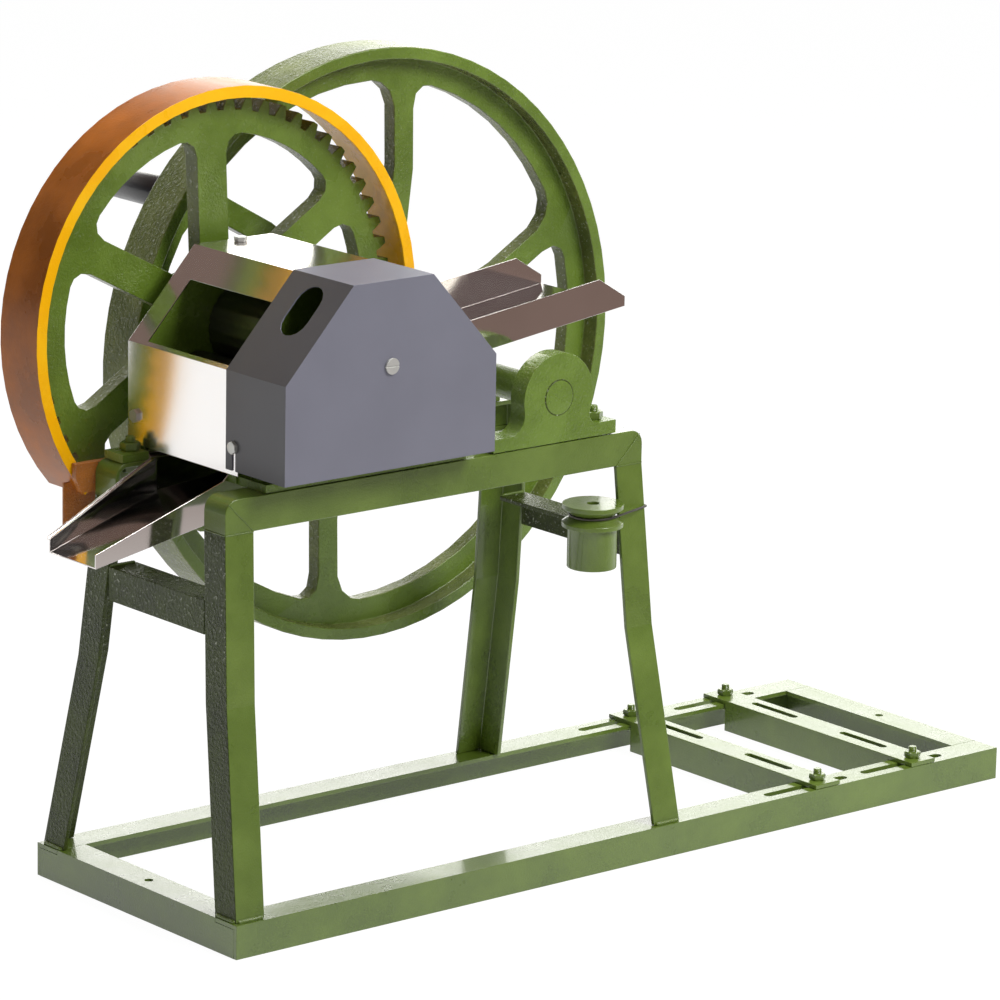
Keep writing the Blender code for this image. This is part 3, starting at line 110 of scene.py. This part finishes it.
# The floor is a white studio sweep that keeps a faint shadow. What mirrors show of it fades from white
# to brown between 0.6 and 2 m in front of the mill's middle, where the light ends.
def linear(hex_colour):
    """An sRGB hex colour as linear red, green, blue and 1."""
    parts = [int(hex_colour[i:i + 2], 16) / 255.0 for i in (1, 3, 5)]
    return (*[c / 12.92 if c <= 0.04045 else ((c + 0.055) / 1.055) ** 2.4 for c in parts], 1.0)


def put(tree, kind, inputs=None, **settings):
    """Adds one node with its settings; an input takes a value or the socket that feeds it.

    A Mix node's two colours are its inputs 6 and 7, and the mixed colour is its output 2.
    """
    made = tree.nodes.new(kind)
    for key, value in settings.items():
        setattr(made, key, value)
    for key, value in (inputs or {}).items():
        if isinstance(value, bpy.types.NodeSocket):
            tree.links.new(value, made.inputs[key])
        else:
            made.inputs[key].default_value = value
    return made


def blank(name):
    """A new material with an empty node tree and its output node."""
    mat = bpy.data.materials.new(name)
    mat.use_nodes = True
    mat.node_tree.nodes.clear()
    return mat, mat.node_tree, mat.node_tree.nodes.new("ShaderNodeOutputMaterial")


SLATE, BROWN, WHITE = linear("#4a4d5c"), linear("#7d6a63"), (1.0, 1.0, 1.0, 1.0)
FADE_END, FADE_START = -2.0, -0.6
PAPER_GLOW, SHADOW_KEPT = 1.08, 0.10
sweep, tree, out = blank("white_sweep")
rays = put(tree, "ShaderNodeLightPath").outputs
spot = put(tree, "ShaderNodeSeparateXYZ", {0: put(tree, "ShaderNodeNewGeometry").outputs["Position"]})
fade = put(tree, "ShaderNodeMapRange", {"Value": spot.outputs["Y"], "From Min": FADE_END,
                                        "From Max": FADE_START})
paper = put(tree, "ShaderNodeMix", {"Factor": fade.outputs[0], 6: BROWN, 7: WHITE}, data_type="RGBA")
tint = put(tree, "ShaderNodeMix", {"Factor": rays["Is Glossy Ray"], 6: WHITE, 7: paper.outputs[2]},
           data_type="RGBA")
seen = put(tree, "ShaderNodeMath", {0: rays["Is Camera Ray"], 1: 1.0 - SHADOW_KEPT}, operation="MULTIPLY")
share = put(tree, "ShaderNodeMath", {0: seen.outputs[0], 1: rays["Is Glossy Ray"]}, operation="MAXIMUM")
matt = put(tree, "ShaderNodeBsdfDiffuse", {"Color": linear("#f4f4f2")})
glow = put(tree, "ShaderNodeEmission", {"Color": tint.outputs[2], "Strength": PAPER_GLOW})
mix = put(tree, "ShaderNodeMixShader", {0: share.outputs[0], 1: matt.outputs[0], 2: glow.outputs[0]})
tree.links.new(mix.outputs[0], out.inputs["Surface"])

REACH = 15.0
floor_z = cad_box[0].z - 0.0004
ground = bpy.data.meshes.new("floor")
ground.from_pydata([(x * REACH, y * REACH, floor_z) for x, y in ((-1, -1), (1, -1), (1, 1), (-1, 1))],
                   [], [(0, 1, 2, 3)])
ground.materials.append(sweep)
floor = bpy.data.objects.new("floor", ground)
bpy.context.scene.collection.objects.link(floor)

# Round the floor is the studio's room, slate low down and brown above. Beyond the mill the lit back of
# the sweep stands about 21 degrees high, and only mirrors see it. Two softboxes light the mill.
BACK_OF_SWEEP = (3.3, 3.3, 3.15, 1.0)
SWEEP_TOP, SWEEP_SOFT_TOP = 0.345, 0.385
FILL = 0.20
world = bpy.data.worlds.new("studio")
world.use_nodes = True
tree = world.node_tree
tree.nodes.clear()
out = put(tree, "ShaderNodeOutputWorld")
rays = put(tree, "ShaderNodeLightPath").outputs
way = put(tree, "ShaderNodeTexCoord").outputs["Generated"]
height = put(tree, "ShaderNodeSeparateXYZ", {0: way}).outputs["Z"]
forward = put(tree, "ShaderNodeVectorMath", {0: way, 1: (math.sin(HEADING), math.cos(HEADING), 0.0)},
              operation="DOT_PRODUCT").outputs["Value"]
climb = put(tree, "ShaderNodeMapRange", {"Value": height, "From Min": 0.1, "From Max": 0.5})
room = put(tree, "ShaderNodeMix", {"Factor": climb.outputs[0], 6: SLATE, 7: BROWN}, data_type="RGBA")
beyond = put(tree, "ShaderNodeMapRange", {"Value": forward, "From Min": 0.50, "From Max": 0.78})
below_top = put(tree, "ShaderNodeMapRange", {"Value": height, "From Min": SWEEP_SOFT_TOP,
                                             "From Max": SWEEP_TOP})
back = put(tree, "ShaderNodeMath", {0: beyond.outputs[0], 1: below_top.outputs[0]}, operation="MULTIPLY")
round_about = put(tree, "ShaderNodeMix", {"Factor": back.outputs[0], 6: room.outputs[2], 7: BACK_OF_SWEEP},
                  data_type="RGBA")
fill = put(tree, "ShaderNodeBackground", {"Color": WHITE, "Strength": FILL})
mirrored = put(tree, "ShaderNodeBackground", {"Color": round_about.outputs[2], "Strength": 1.0})
white = put(tree, "ShaderNodeBackground", {"Color": WHITE, "Strength": 1.0})
shiny = put(tree, "ShaderNodeMath", {0: rays["Is Glossy Ray"], 1: rays["Is Transmission Ray"]},
            operation="MAXIMUM")
dim = put(tree, "ShaderNodeMixShader", {0: shiny.outputs[0], 1: fill.outputs[0], 2: mirrored.outputs[0]})
mix = put(tree, "ShaderNodeMixShader", {0: rays["Is Camera Ray"], 1: dim.outputs[0], 2: white.outputs[0]})
tree.links.new(mix.outputs[0], out.inputs["Surface"])
bpy.context.scene.world = world

LAMPS_AIM = Vector((0, 0, 0.45))
for name, place, watts, size in (("top_softbox", Vector((0.5, 0.3, 3.1)), 66.0, 2.0),
                                 ("front_softbox", Vector((0.8, -2.9, 3.0)), 116.0, 1.6)):
    lamp = bpy.data.lights.new(name, "AREA")
    lamp.energy = watts
    lamp.size = size
    lit = bpy.data.objects.new(name, lamp)
    lit.location = place
    lit.rotation_mode = "QUATERNION"
    lit.rotation_quaternion = (LAMPS_AIM - place).to_track_quat("-Z", "Y")
    bpy.context.scene.collection.objects.link(lit)

# The base is a rectangle of 38 mm angle iron, mitred and welded, then sprayed with green gloss
# enamel that shows a fine orange peel and soft patches of two tones.
body_of = {n: b for b, ns in frame["record"]["behaviour"]["bodies"].items() for n in ns}
SAME_POINT, FLAT_ANGLE = 2e-6, math.radians(0.4)


def dressed(node, mat, edge, limit=30.0):
    """The node's own shape with its loose triangles joined, flat faces made whole and edges rounded."""
    bm = bmesh.new()
    bm.from_mesh(frame["nodes"][node].data)
    bmesh.ops.remove_doubles(bm, verts=bm.verts, dist=SAME_POINT)
    bmesh.ops.dissolve_limit(bm, angle_limit=FLAT_ANGLE, verts=bm.verts, edges=bm.edges)
    mesh = bpy.data.meshes.new(node + "_skin")
    bm.to_mesh(mesh)
    bm.free()
    mesh.shade_smooth()
    mesh.set_sharp_from_angle(angle=math.radians(limit))
    mesh.materials.clear()
    mesh.materials.append(mat)
    piece = bpy.data.objects.new(node + "_skin", mesh)
    bpy.context.scene.collection.objects.link(piece)
    if edge:
        rounding = piece.modifiers.new("edges", "BEVEL")
        rounding.width = edge * MM
        rounding.segments = 2
        rounding.limit_method = "ANGLE"
        rounding.angle_limit = math.radians(limit)
        rounding.harden_normals = True
    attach(piece, body_of[node])
    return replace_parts(piece, node)


PATCH = 1000.0 / 14  # the paint's soft patches, fourteen to a metre


def enamel(name, light, dark, peel=2.2, depth=0.5, rough=0.30, painted_glint=0.0, shine=0.5, lacquer=0.25):
    """Gloss paint: two tones in soft patches over an orange peel or grit, peel mm wide and depth mm high.

    A glint share above 0 whitens the peaks of the peel with painted highlights that stand in for lamps
    glinting on them, and fades out low on the mill. The lacquer is the share of a clear coat.
    """
    mat, tree, out = blank(name)
    place = put(tree, "ShaderNodeTexCoord").outputs["Object"]
    cloud = put(tree, "ShaderNodeTexNoise", {"Vector": place, "Scale": 1.0 / (PATCH * MM), "Detail": 4.0,
                                             "Roughness": 0.6}).outputs["Fac"]
    tone = put(tree, "ShaderNodeMapRange", {"Value": cloud, "From Min": 0.35, "From Max": 0.68})
    coat = put(tree, "ShaderNodeMix", {"Factor": tone.outputs[0], 6: linear(dark), 7: linear(light)},
               data_type="RGBA")
    grit = put(tree, "ShaderNodeTexNoise", {"Vector": place, "Scale": 1.0 / (peel * MM), "Detail": 3.0,
                                            "Roughness": 0.65}).outputs["Fac"]
    height = put(tree, "ShaderNodeSeparateXYZ", {0: place}).outputs["Z"]
    # Painted highlights: the glint mask whitens the peel's peaks, fading out low on the mill.
    lit_part = put(tree, "ShaderNodeMapRange", {"Value": height, "From Min": 0.16, "From Max": 0.38,
                                                "To Max": painted_glint})
    glint = put(tree, "ShaderNodeMapRange", {"Value": grit, "From Min": 0.60, "From Max": 0.74,
                                             "To Max": lit_part.outputs[0]})
    colour = put(tree, "ShaderNodeMix", {"Factor": glint.outputs[0], 6: coat.outputs[2],
                                         7: linear("#e6ead8")}, data_type="RGBA")
    bump = put(tree, "ShaderNodeBump", {"Height": grit, "Strength": 1.0, "Distance": depth * MM})
    gloss = put(tree, "ShaderNodeMapRange", {"Value": cloud, "From Min": 0.3, "From Max": 0.7,
                                             "To Min": rough - 0.06, "To Max": rough + 0.08})
    paint = put(tree, "ShaderNodeBsdfPrincipled", {
        "Base Color": colour.outputs[2], "Roughness": gloss.outputs[0], "Normal": bump.outputs[0],
        "Specular IOR Level": shine, "Coat Weight": lacquer, "Coat Roughness": 0.10})
    tree.links.new(paint.outputs[0], out.inputs["Surface"])
    return mat


green_enamel = enamel("green_gloss_enamel", "#667c2b", "#556a20", lacquer=0.6)
for node in ("base_near_rail", "base_far_rail", "base_left_rail", "base_right_rail"):
    dressed(node, green_enamel, 1.0)


# Weld runs close the corners of the base and hold the feet of the legs. Each is a string of small
# overlapping ripples, painted over with the frame.
def skin(name, grid, mat, body, limit=40.0):
    """A closed surface from a grid of points: rows along it, columns round it, a fan at each end."""
    rows, cols = grid.shape[:2]
    index = np.arange(rows * cols).reshape(rows, cols)
    a, b = index[:-1], index[1:]
    quads = np.stack((a, np.roll(a, -1, 1), np.roll(b, -1, 1), b), -1).reshape(-1, 4)
    ends = np.stack((grid[0].mean(0), grid[-1].mean(0)))
    low, high = rows * cols, rows * cols + 1
    fans = [(low, int(j), int(i)) for i, j in zip(index[0], np.roll(index[0], -1))]
    fans += [(high, int(i), int(j)) for i, j in zip(index[-1], np.roll(index[-1], -1))]
    mesh = bpy.data.meshes.new(name)
    mesh.from_pydata(np.concatenate((grid.reshape(-1, 3), ends)).tolist(), [], quads.tolist() + fans)
    mesh.materials.append(mat)
    bm = bmesh.new()
    bm.from_mesh(mesh)
    bmesh.ops.recalc_face_normals(bm, faces=bm.faces)
    bm.to_mesh(mesh)
    bm.free()
    mesh.shade_smooth()
    mesh.set_sharp_from_angle(angle=math.radians(limit))
    piece = bpy.data.objects.new(name, mesh)
    bpy.context.scene.collection.objects.link(piece)
    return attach(piece, body)


RIPPLE_PITCH = 2.8
RIPPLE_RISE = 0.14


def bead(name, start, end, radius=2.4):
    """A round run. Its radius swells in one sine hump each pitch and is drawn in at both ends."""
    a, b = np.array(at(*start)), np.array(at(*end))
    length = np.linalg.norm(b - a)
    way = (b - a) / length
    across = np.cross(way, (0.0, 0.0, 1.0) if abs(way[2]) < 0.9 else (1.0, 0.0, 0.0))
    across /= np.linalg.norm(across)
    ripples = length / (RIPPLE_PITCH * MM)
    s = np.linspace(0.0, 1.0, max(12, int(ripples * 6)))[:, None]
    turns = np.linspace(0.0, 2.0 * math.pi, 10, endpoint=False)[None, :]
    swell = 1.0 + RIPPLE_RISE * np.abs(np.sin(math.pi * s * ripples))
    drawn_in = np.sqrt(np.clip(1.0 - np.abs(2.0 * s - 1.0) ** 14, 0.02, 1.0))
    ring = np.cos(turns)[..., None] * across + np.sin(turns)[..., None] * np.cross(way, across)
    r = radius * MM * swell * drawn_in
    return skin(name, a + s[..., None] * (b - a) + r[..., None] * ring, green_enamel, "mill_frame")


ANGLE, WALL = 38.0, 5.0
LENGTH, WIDTH = (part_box("base_far_rail")[1] - corner).xy / MM
SHORT = 2.0  # how far a run stops short of the iron's edge
RUN = ANGLE - SHORT
SEAM, SEAM_IN = WALL + 0.15, 1.5
for name, x, y, along in (("near_left", 0.0, SEAM, 1), ("far_left", 0.0, WIDTH - SEAM, 1),
                          ("near_right", LENGTH, SEAM, -1), ("far_right", LENGTH, WIDTH - SEAM, -1)):
    seam_x = x + SEAM_IN * along
    bead("corner_weld_" + name, (seam_x, y, SHORT), (seam_x, y, RUN), radius=1.3)
FOOT_LEFT, FOOT_RIGHT, FOOT_INSET, FOOT_Z = 4.0, 633.0, 6.1, ANGLE + 1.2
for name, x, y, along, across in (("near_left", FOOT_LEFT, FOOT_INSET, 1, 1),
                                  ("near_right", FOOT_RIGHT, FOOT_INSET, -1, 1),
                                  ("far_left", FOOT_LEFT, WIDTH - FOOT_INSET, 1, -1),
                                  ("far_right", FOOT_RIGHT, WIDTH - FOOT_INSET, -1, -1)):
    bead("foot_weld_%s_side" % name, (x + SHORT * along, y, FOOT_Z), (x + RUN * along, y, FOOT_Z))
    bead("foot_weld_%s_end" % name, (x, y + SHORT * across, FOOT_Z), (x, y + RUN * across, FOOT_Z))

# Two slotted rails lie across the base for a motor. Each is clamped by a bolt at either end, whose
# head is under the base's flange and whose nut and thread stand up in view, painted with the rest.
for node in ("motor_rail_left", "motor_rail_right"):
    dressed(node, green_enamel, 0.8)


def hexagon(turns, flats):
    """How far a hexagon's side lies from its middle at each turn: half the flats over the cosine."""
    return flats / 2.0 / np.cos((turns + math.pi / 6) % (math.pi / 3) - math.pi / 6)


THREAD_END, THREAD_PITCH, THREAD_DEPTH = 6.0, 1.75, 0.55
TIP_CHAMFER, TIP_DEPTH = 1.2, 0.9
HEX_ROWS, THREAD_ROWS = 9, 34


def fastening(node, flats, high, thread_r):
    """Radius by height and turn: a hexagon cut by 30 degree cones for head and nut, else a thread wave."""
    low_box, high_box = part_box(node)
    x, y = (low_box.x + high_box.x) / 2, (low_box.y + high_box.y) / 2
    foot, top = low_box.z / MM, high_box.z / MM
    nut_low, nut_high = top - THREAD_END - high, top - THREAD_END
    z = np.concatenate((np.linspace(foot, foot + high, HEX_ROWS), np.linspace(nut_low, nut_high, HEX_ROWS),
                        np.linspace(nut_high, top, THREAD_ROWS)))
    hexed = (np.arange(len(z)) < 2 * HEX_ROWS)[:, None]
    z[HEX_ROWS] += 0.01
    turns = np.linspace(0.0, 2.0 * math.pi, 60, endpoint=False)[None, :]
    on_head = z < nut_low - 0.1
    near = np.minimum(np.where(on_head, z - foot, z - nut_low),
                      np.where(on_head, foot + high - z, nut_high - z))
    cone = flats / 2.0 * 0.965 + np.clip(near, 0, None) / math.tan(math.radians(30.0))
    wave = np.abs(2.0 * ((z[:, None] / THREAD_PITCH - turns / (2.0 * math.pi)) % 1.0) - 1.0)
    full = np.clip((top - z) / TIP_CHAMFER, 0.0, 1.0)[:, None]
    thread = thread_r - THREAD_DEPTH * wave - TIP_DEPTH * (1.0 - full)
    r = np.where(hexed, np.minimum(hexagon(turns, flats), cone[:, None]), thread)
    grid = np.stack((x + r * MM * np.cos(turns), y + r * MM * np.sin(turns),
                     np.broadcast_to(z[:, None] * MM, r.shape)), -1)
    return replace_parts(skin(node + "_hex", grid, green_enamel, body_of[node], 26.0), node)


for node in ("motor_bolt_near_left", "motor_bolt_near_right", "motor_bolt_far_left",
             "motor_bolt_far_right"):
    fastening(node, flats=17.0, high=7.0, thread_r=5.0)

# The stand: four bent legs, two top rails and two ties of the same angle iron. The near left leg's side
# below its head, the far left leg and both ties are rougher and darker, under a thick glossy coat whose
# glints are painted highlights on the scale's peaks. The scale on rough iron is under 1 mm wide, and is
# drawn 4.2 mm wide so that it shows.
rough_enamel = enamel("green_enamel_on_rough_iron", "#44501c", "#2f3813", peel=4.2, depth=1.6,
                      rough=0.22, painted_glint=0.75, shine=0.25, lacquer=0.0)
HEAD = 440.0


def second_coat(piece, mat, wanted):
    """Gives the faces that wanted picks a second material."""
    piece.data.materials.append(mat)
    slot = len(piece.data.materials) - 1
    for face in piece.data.polygons:
        if wanted(face):
            face.material_index = slot
    return piece


for node in ("near_top_rail", "far_top_rail", "near_right_leg", "far_right_leg"):
    dressed(node, green_enamel, 1.0)
head_z = at(0.0, 0.0, HEAD).z
second_coat(dressed("near_left_leg", green_enamel, 1.0), rough_enamel,
            lambda face: abs(face.normal.y) < 0.6 and face.center.z < head_z)
for node in ("far_left_leg", "left_tie", "right_tie"):
    dressed(node, rough_enamel, 1.0)

# The legs' heads are mitred into the top rails, butt welded across their flanges, and ground almost
# flush, so these runs are thin. The ties' welds at the legs are left round.
GROUND = 0.1  # how far a ground run still stands proud
MITRE = ANGLE - 4.0
near_low, near_high = ((v - corner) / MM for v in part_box("near_top_rail"))
far_low, far_high = ((v - corner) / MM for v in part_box("far_top_rail"))
foot_z = near_low.z
for name, outer, along in (("left", near_low.x, -1), ("right", near_high.x, 1)):
    inner = outer - ANGLE * along
    edge_x = outer + GROUND * along
    for row, face, rear in (("near", near_low.y - GROUND, near_high.y),
                            ("far", far_high.y + GROUND, far_low.y)):
        bead("mitre_weld_%s_%s" % (row, name), (inner, face, foot_z),
             (inner + MITRE * along, face, foot_z + MITRE), radius=0.7)
        bead("butt_weld_%s_%s" % (row, name), (inner, face, foot_z), (outer, face, foot_z), radius=0.8)
        bead("flange_weld_%s_%s" % (row, name), (edge_x, face, foot_z), (edge_x, rear, foot_z),
             radius=0.8)
TIE_LEFT, TIE_RIGHT, TIE_NEAR, TIE_FAR, TIE_Z = 45.0, 599.0, 98.0, 270.0, 371.6
TIE_HALF = 17.0
for name, x in (("left", TIE_LEFT), ("right", TIE_RIGHT)):
    for row, y in (("near", TIE_NEAR), ("far", TIE_FAR)):
        bead("tie_weld_%s_%s" % (row, name), (x - TIE_HALF, y, TIE_Z), (x + TIE_HALF, y, TIE_Z),
             radius=1.8)

# Cheeks and shaft bearings are sand castings, fettled on their faces and painted on the machine with
# their nuts. The sand's grain, about half a millimetre, is drawn 3.2 mm wide so that it shows. The near
# shaft end and its bush are painted over too, with a dark seam round the end.
# The castings' enamel has faint painted highlights on the grain's peaks.
cast_enamel = enamel("green_enamel_on_sand_casting", "#6d862f", "#5a7122", peel=3.2, depth=1.0,
                     rough=0.26, painted_glint=0.08)
for node in ("near_cheek", "far_cheek", "near_shaft_bearing", "far_shaft_bearing", "near_shaft_bush"):
    dressed(node, cast_enamel, 1.2, 35.0)


def turned(name, axis, middle, rows, mat, count, limit, flats=None):
    """Rings round an axis, X as 0 or Y as 1, each row's place along it and radius; flats cut a hexagon."""
    turns = np.linspace(0.0, 2.0 * math.pi, count, endpoint=False)
    reach, r = np.array(rows).T[..., None]
    r = np.broadcast_to(r, (len(rows), count))
    if flats:
        r = np.minimum(r, hexagon(turns, flats))
    spread = [r * np.cos(turns), r * np.sin(turns)]
    spread.insert(axis, np.broadcast_to(reach, r.shape))
    return skin(name, np.array(at(*middle)) + np.stack(spread, -1) * MM, mat, "mill_frame", limit)


shaft = sum(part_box("flywheel_shaft"), Vector()) / 2
shaft_x, shaft_z = (shaft - corner).xz / MM
bearing_y = (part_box("near_shaft_bearing")[0] - corner).y / MM
SEAM_LOW, SEAM_HIGH = 18.9, 20.4
cap = turned("shaft_end_cap", 1, (shaft_x, bearing_y, shaft_z), (
    (0.3, 25.2), (-0.06, 25.0), (-0.08, 20.6), (-0.05, 20.0), (-0.4, 19.6), (-0.75, 19.2), (-0.8, 18.6),
    (-0.8, 3.0)), cast_enamel, count=72, limit=40.0)
second_coat(cap, rough_enamel, lambda face: SEAM_LOW * MM < math.hypot(
    face.center.x - shaft.x, face.center.z - shaft.z) < SEAM_HIGH * MM)
for node in ("near_cheek_bolt_left", "near_cheek_bolt_right", "far_cheek_bolt_left",
             "far_cheek_bolt_right", "near_bearing_bolt", "far_bearing_bolt"):
    fastening(node, flats=20.0, high=9.0, thread_r=6.0)


# The other bushes are bare turned bronze, in the bores of both cheeks and of the far bearing. Lathe and
# brush lines, a tenth of a millimetre apart on real metal, are drawn about 1 mm apart so that they show.
SMEAR = 1000.0 / 11  # the wiped patches, eleven to a metre


def metal(name, light, dark, rough, grain, stretch=(1.0, 1.0, 1.0), depth=0.02, weight=1.0, dish=0.0):
    """Bare metal: two tones and a bump along stretched grain, whose period is grain mm.

    A dish above 0 tilts the mirror evenly along Y, by its tangent. A weight below 1 dulls the metal.
    """
    mat, tree, out = blank(name)
    place = put(tree, "ShaderNodeTexCoord").outputs["Object"]
    laid = put(tree, "ShaderNodeMapping", {"Vector": place, "Scale": stretch})
    lines = put(tree, "ShaderNodeTexNoise", {"Vector": laid.outputs[0], "Scale": 1.0 / (grain * MM),
                                             "Detail": 4.0, "Roughness": 0.7}).outputs["Fac"]
    smear = put(tree, "ShaderNodeTexNoise", {"Vector": place, "Scale": 1.0 / (SMEAR * MM), "Detail": 3.0})
    tone = put(tree, "ShaderNodeMix", {"Factor": smear.outputs["Fac"], 6: linear(dark), 7: linear(light)},
               data_type="RGBA")
    bump = put(tree, "ShaderNodeBump", {"Height": lines, "Strength": 0.5, "Distance": depth * MM})
    if dish:
        across = put(tree, "ShaderNodeSeparateXYZ", {0: place}).outputs["Y"]
        bump = put(tree, "ShaderNodeBump", {"Height": across, "Distance": dish, "Normal": bump.outputs[0]})
    gloss = put(tree, "ShaderNodeMapRange", {"Value": lines, "From Min": 0.3, "From Max": 0.7,
                                             "To Min": rough * 0.75, "To Max": rough * 1.3})
    bare = put(tree, "ShaderNodeBsdfPrincipled", {
        "Base Color": tone.outputs[2], "Roughness": gloss.outputs[0], "Normal": bump.outputs[0],
        "Metallic": weight})
    tree.links.new(bare.outputs[0], out.inputs["Surface"])
    return mat


bearing_bronze = metal("turned_bearing_bronze", "#c39a55", "#a57c3c", rough=0.3, grain=0.8)
for node in ("near_top_bush", "near_front_bush", "near_rear_bush", "far_top_bush", "far_front_bush",
             "far_rear_bush", "far_shaft_bush"):
    dressed(node, bearing_bronze, 0.4)

# Rollers and key are turned steel with fine lathe lines. Roller gears and pinion are oiled cast iron,
# coarser and darker. The flywheel's shaft was painted with the castings.
turned_steel = metal("turned_steel_with_lathe_lines", "#a5a5a2", "#858480", rough=0.28, grain=0.9,
                     stretch=(1.0, 9.0, 1.0))
oiled_iron = metal("oiled_grey_iron", "#7c7b78", "#4d4c4a", rough=0.42, grain=1.6, depth=0.08)
for node in ("top_roller", "front_roller", "rear_roller"):
    dressed(node, turned_steel, 0.0, 25.0)
dressed("flywheel_shaft", cast_enamel, 0.8)
dressed("drive_gear_key", turned_steel, 0.4)
for node in ("top_roller_gear", "front_roller_gear", "rear_roller_gear", "pinion"):
    dressed(node, oiled_iron, 0.0, 25.0)

# The flywheel and the large gear are cast iron wheels, painted all over. Their faces are fettled, and
# the sides of their spokes and rims keep the mould's rough skin, which looks darker and whose glints are
# painted highlights on the skin's peaks.
wheel_enamel = enamel("green_enamel_on_rough_casting", "#7a8445", "#56612e", peel=4.2, depth=1.4,
                      rough=0.24, painted_glint=0.6, shine=0.25, lacquer=0.0)
for node, edge in (("flywheel", 1.6), ("drive_gear", 0.8)):
    second_coat(dressed(node, cast_enamel, edge, 35.0), wheel_enamel,
                lambda face: abs(face.normal.y) < 0.5)

# The guard is a rolled band of sheet with a folded lip, in yellow enamel. The outside of the band gets a
# darker burnt orange copy of that enamel as painted shade. A rough primed tab hangs from its lower end.
BAND_R, TAB_BACK, TAB_TOP = 259.5, 327.6, 457.5
amber = enamel("yellow_guard_enamel", "#ffc40c", "#fab406", peel=3.0, depth=0.3, rough=0.28,
               shine=0.3, lacquer=0.1)
painted_shade_orange = enamel("guard_enamel_painted_shade", "#bd6a14", "#96520a", peel=3.0, depth=0.3, rough=0.30,
               shine=0.3, lacquer=0.0)
# The primer has painted highlights on its grit's peaks.
primer = enamel("rough_orange_primer", "#cc7a24", "#9a5412", peel=2.0, depth=2.5, rough=0.4, painted_glint=0.25)
guard = dressed("gear_guard", amber, 0.5)
hub = sum(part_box("drive_gear"), Vector()) / 2


def outside(face):
    """Whether a face of the guard looks away from the gear's shaft."""
    away = Vector((face.center.x - hub.x, 0.0, face.center.z - hub.z))
    return face.normal.dot(away.normalized()) > 0.7 and away.length > BAND_R * MM


# The band's outside faces take the darker copy of the enamel, as painted shade.
second_coat(guard, painted_shade_orange, outside)
tab_end = at(0.0, TAB_BACK, TAB_TOP)
second_coat(guard, primer, lambda face: face.center.y < tab_end.y and face.center.z < tab_end.z)
dressed("guard_bracket", primer, 0.8)

# Hood, chute and pan are folded from polished stainless sheet, which mirrors the pale floor and the
# brown room. The hood is brushed as well, and its end sheet is slightly dished, so that only a third
# of it mirrors the guard. Zinc plated screws hold the hood.
polished = metal("polished_stainless_sheet", "#eeebe8", "#dedad6", rough=0.09, grain=3.0,
                 stretch=(1.0, 1.0, 6.0), depth=0.01)
brushed = metal("brushed_polished_hood_sheet", "#eeebe8", "#dedad6", rough=0.17, grain=1.2,
                stretch=(1.0, 1.0, 9.0), depth=0.015)
dished = metal("dished_hood_end_sheet", "#fbf9f7", "#f4f1ee", rough=0.23, grain=1.2,
               stretch=(1.0, 1.0, 9.0), depth=0.01, dish=0.14)
zinc_plate = metal("bright_zinc_plate", "#e2e3df", "#c4c5c0", rough=0.34, grain=1.2, weight=0.6)
for node in ("feed_chute", "juice_pan"):
    dressed(node, polished, 0.5, 25.0)
second_coat(dressed("hood", brushed, 0.5, 25.0), dished, lambda face: face.normal.x < -0.95)
for node in ("hood_screw_side", "hood_screw_top", "cover_plug"):
    dressed(node, zinc_plate, 0.4)

# The cover over the roller gears is darker sheet with a satin brushed face. Its flank and slope are
# brushed the other way and get a darker copy of the sheet, as painted shade. A zinc plated bolt's head
# stands in the flank's notch.
satin = metal("satin_brushed_cover_sheet", "#7c7c89", "#71717d", rough=0.42, grain=0.7,
              stretch=(1.0, 1.0, 14.0), depth=0.01, weight=0.12)
painted_shade_satin = metal("satin_cover_flank_painted_shade", "#646468", "#58585b", rough=0.34, grain=0.7,
               stretch=(1.0, 14.0, 1.0), depth=0.01, weight=0.25)
# Faces turned towards -X take the darker copy of the sheet: painted shade.
second_coat(dressed("gear_cover", satin, 0.9), painted_shade_satin, lambda face: face.normal.x < -0.5)
NOTCH_Y, NOTCH_Z = 117.0, 527.0
flank_x = (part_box("gear_cover")[0] - corner).x / MM
turned("notch_bolt", 0, (flank_x, NOTCH_Y, NOTCH_Z), ((1.2, 7.5), (-3.0, 7.5), (-3.8, 6.6), (-4.0, 5.0)),
       zinc_plate, count=60, limit=26.0, flats=13.0)

# The crank grip is a moulded black tube that turns on a zinc plated bolt.
black_grip = enamel("moulded_black_grip", "#1c1c1e", "#101011", peel=1.6, depth=0.3, rough=0.34)
dressed("crank_grip", black_grip, 0.0, 45.0)
dressed("crank_bolt", zinc_plate, 0.5)

# A spare motor pulley, painted with the frame, hangs under the near top rail. A loop of dark annealed
# wire holds it to the leg.
annealed = metal("annealed_iron_wire", "#6f6d66", "#4f4d48", rough=0.5, grain=1.0)
dressed("motor_pulley", green_enamel, 0.8)
dressed("tie_wire", annealed, 0.0, 60.0)
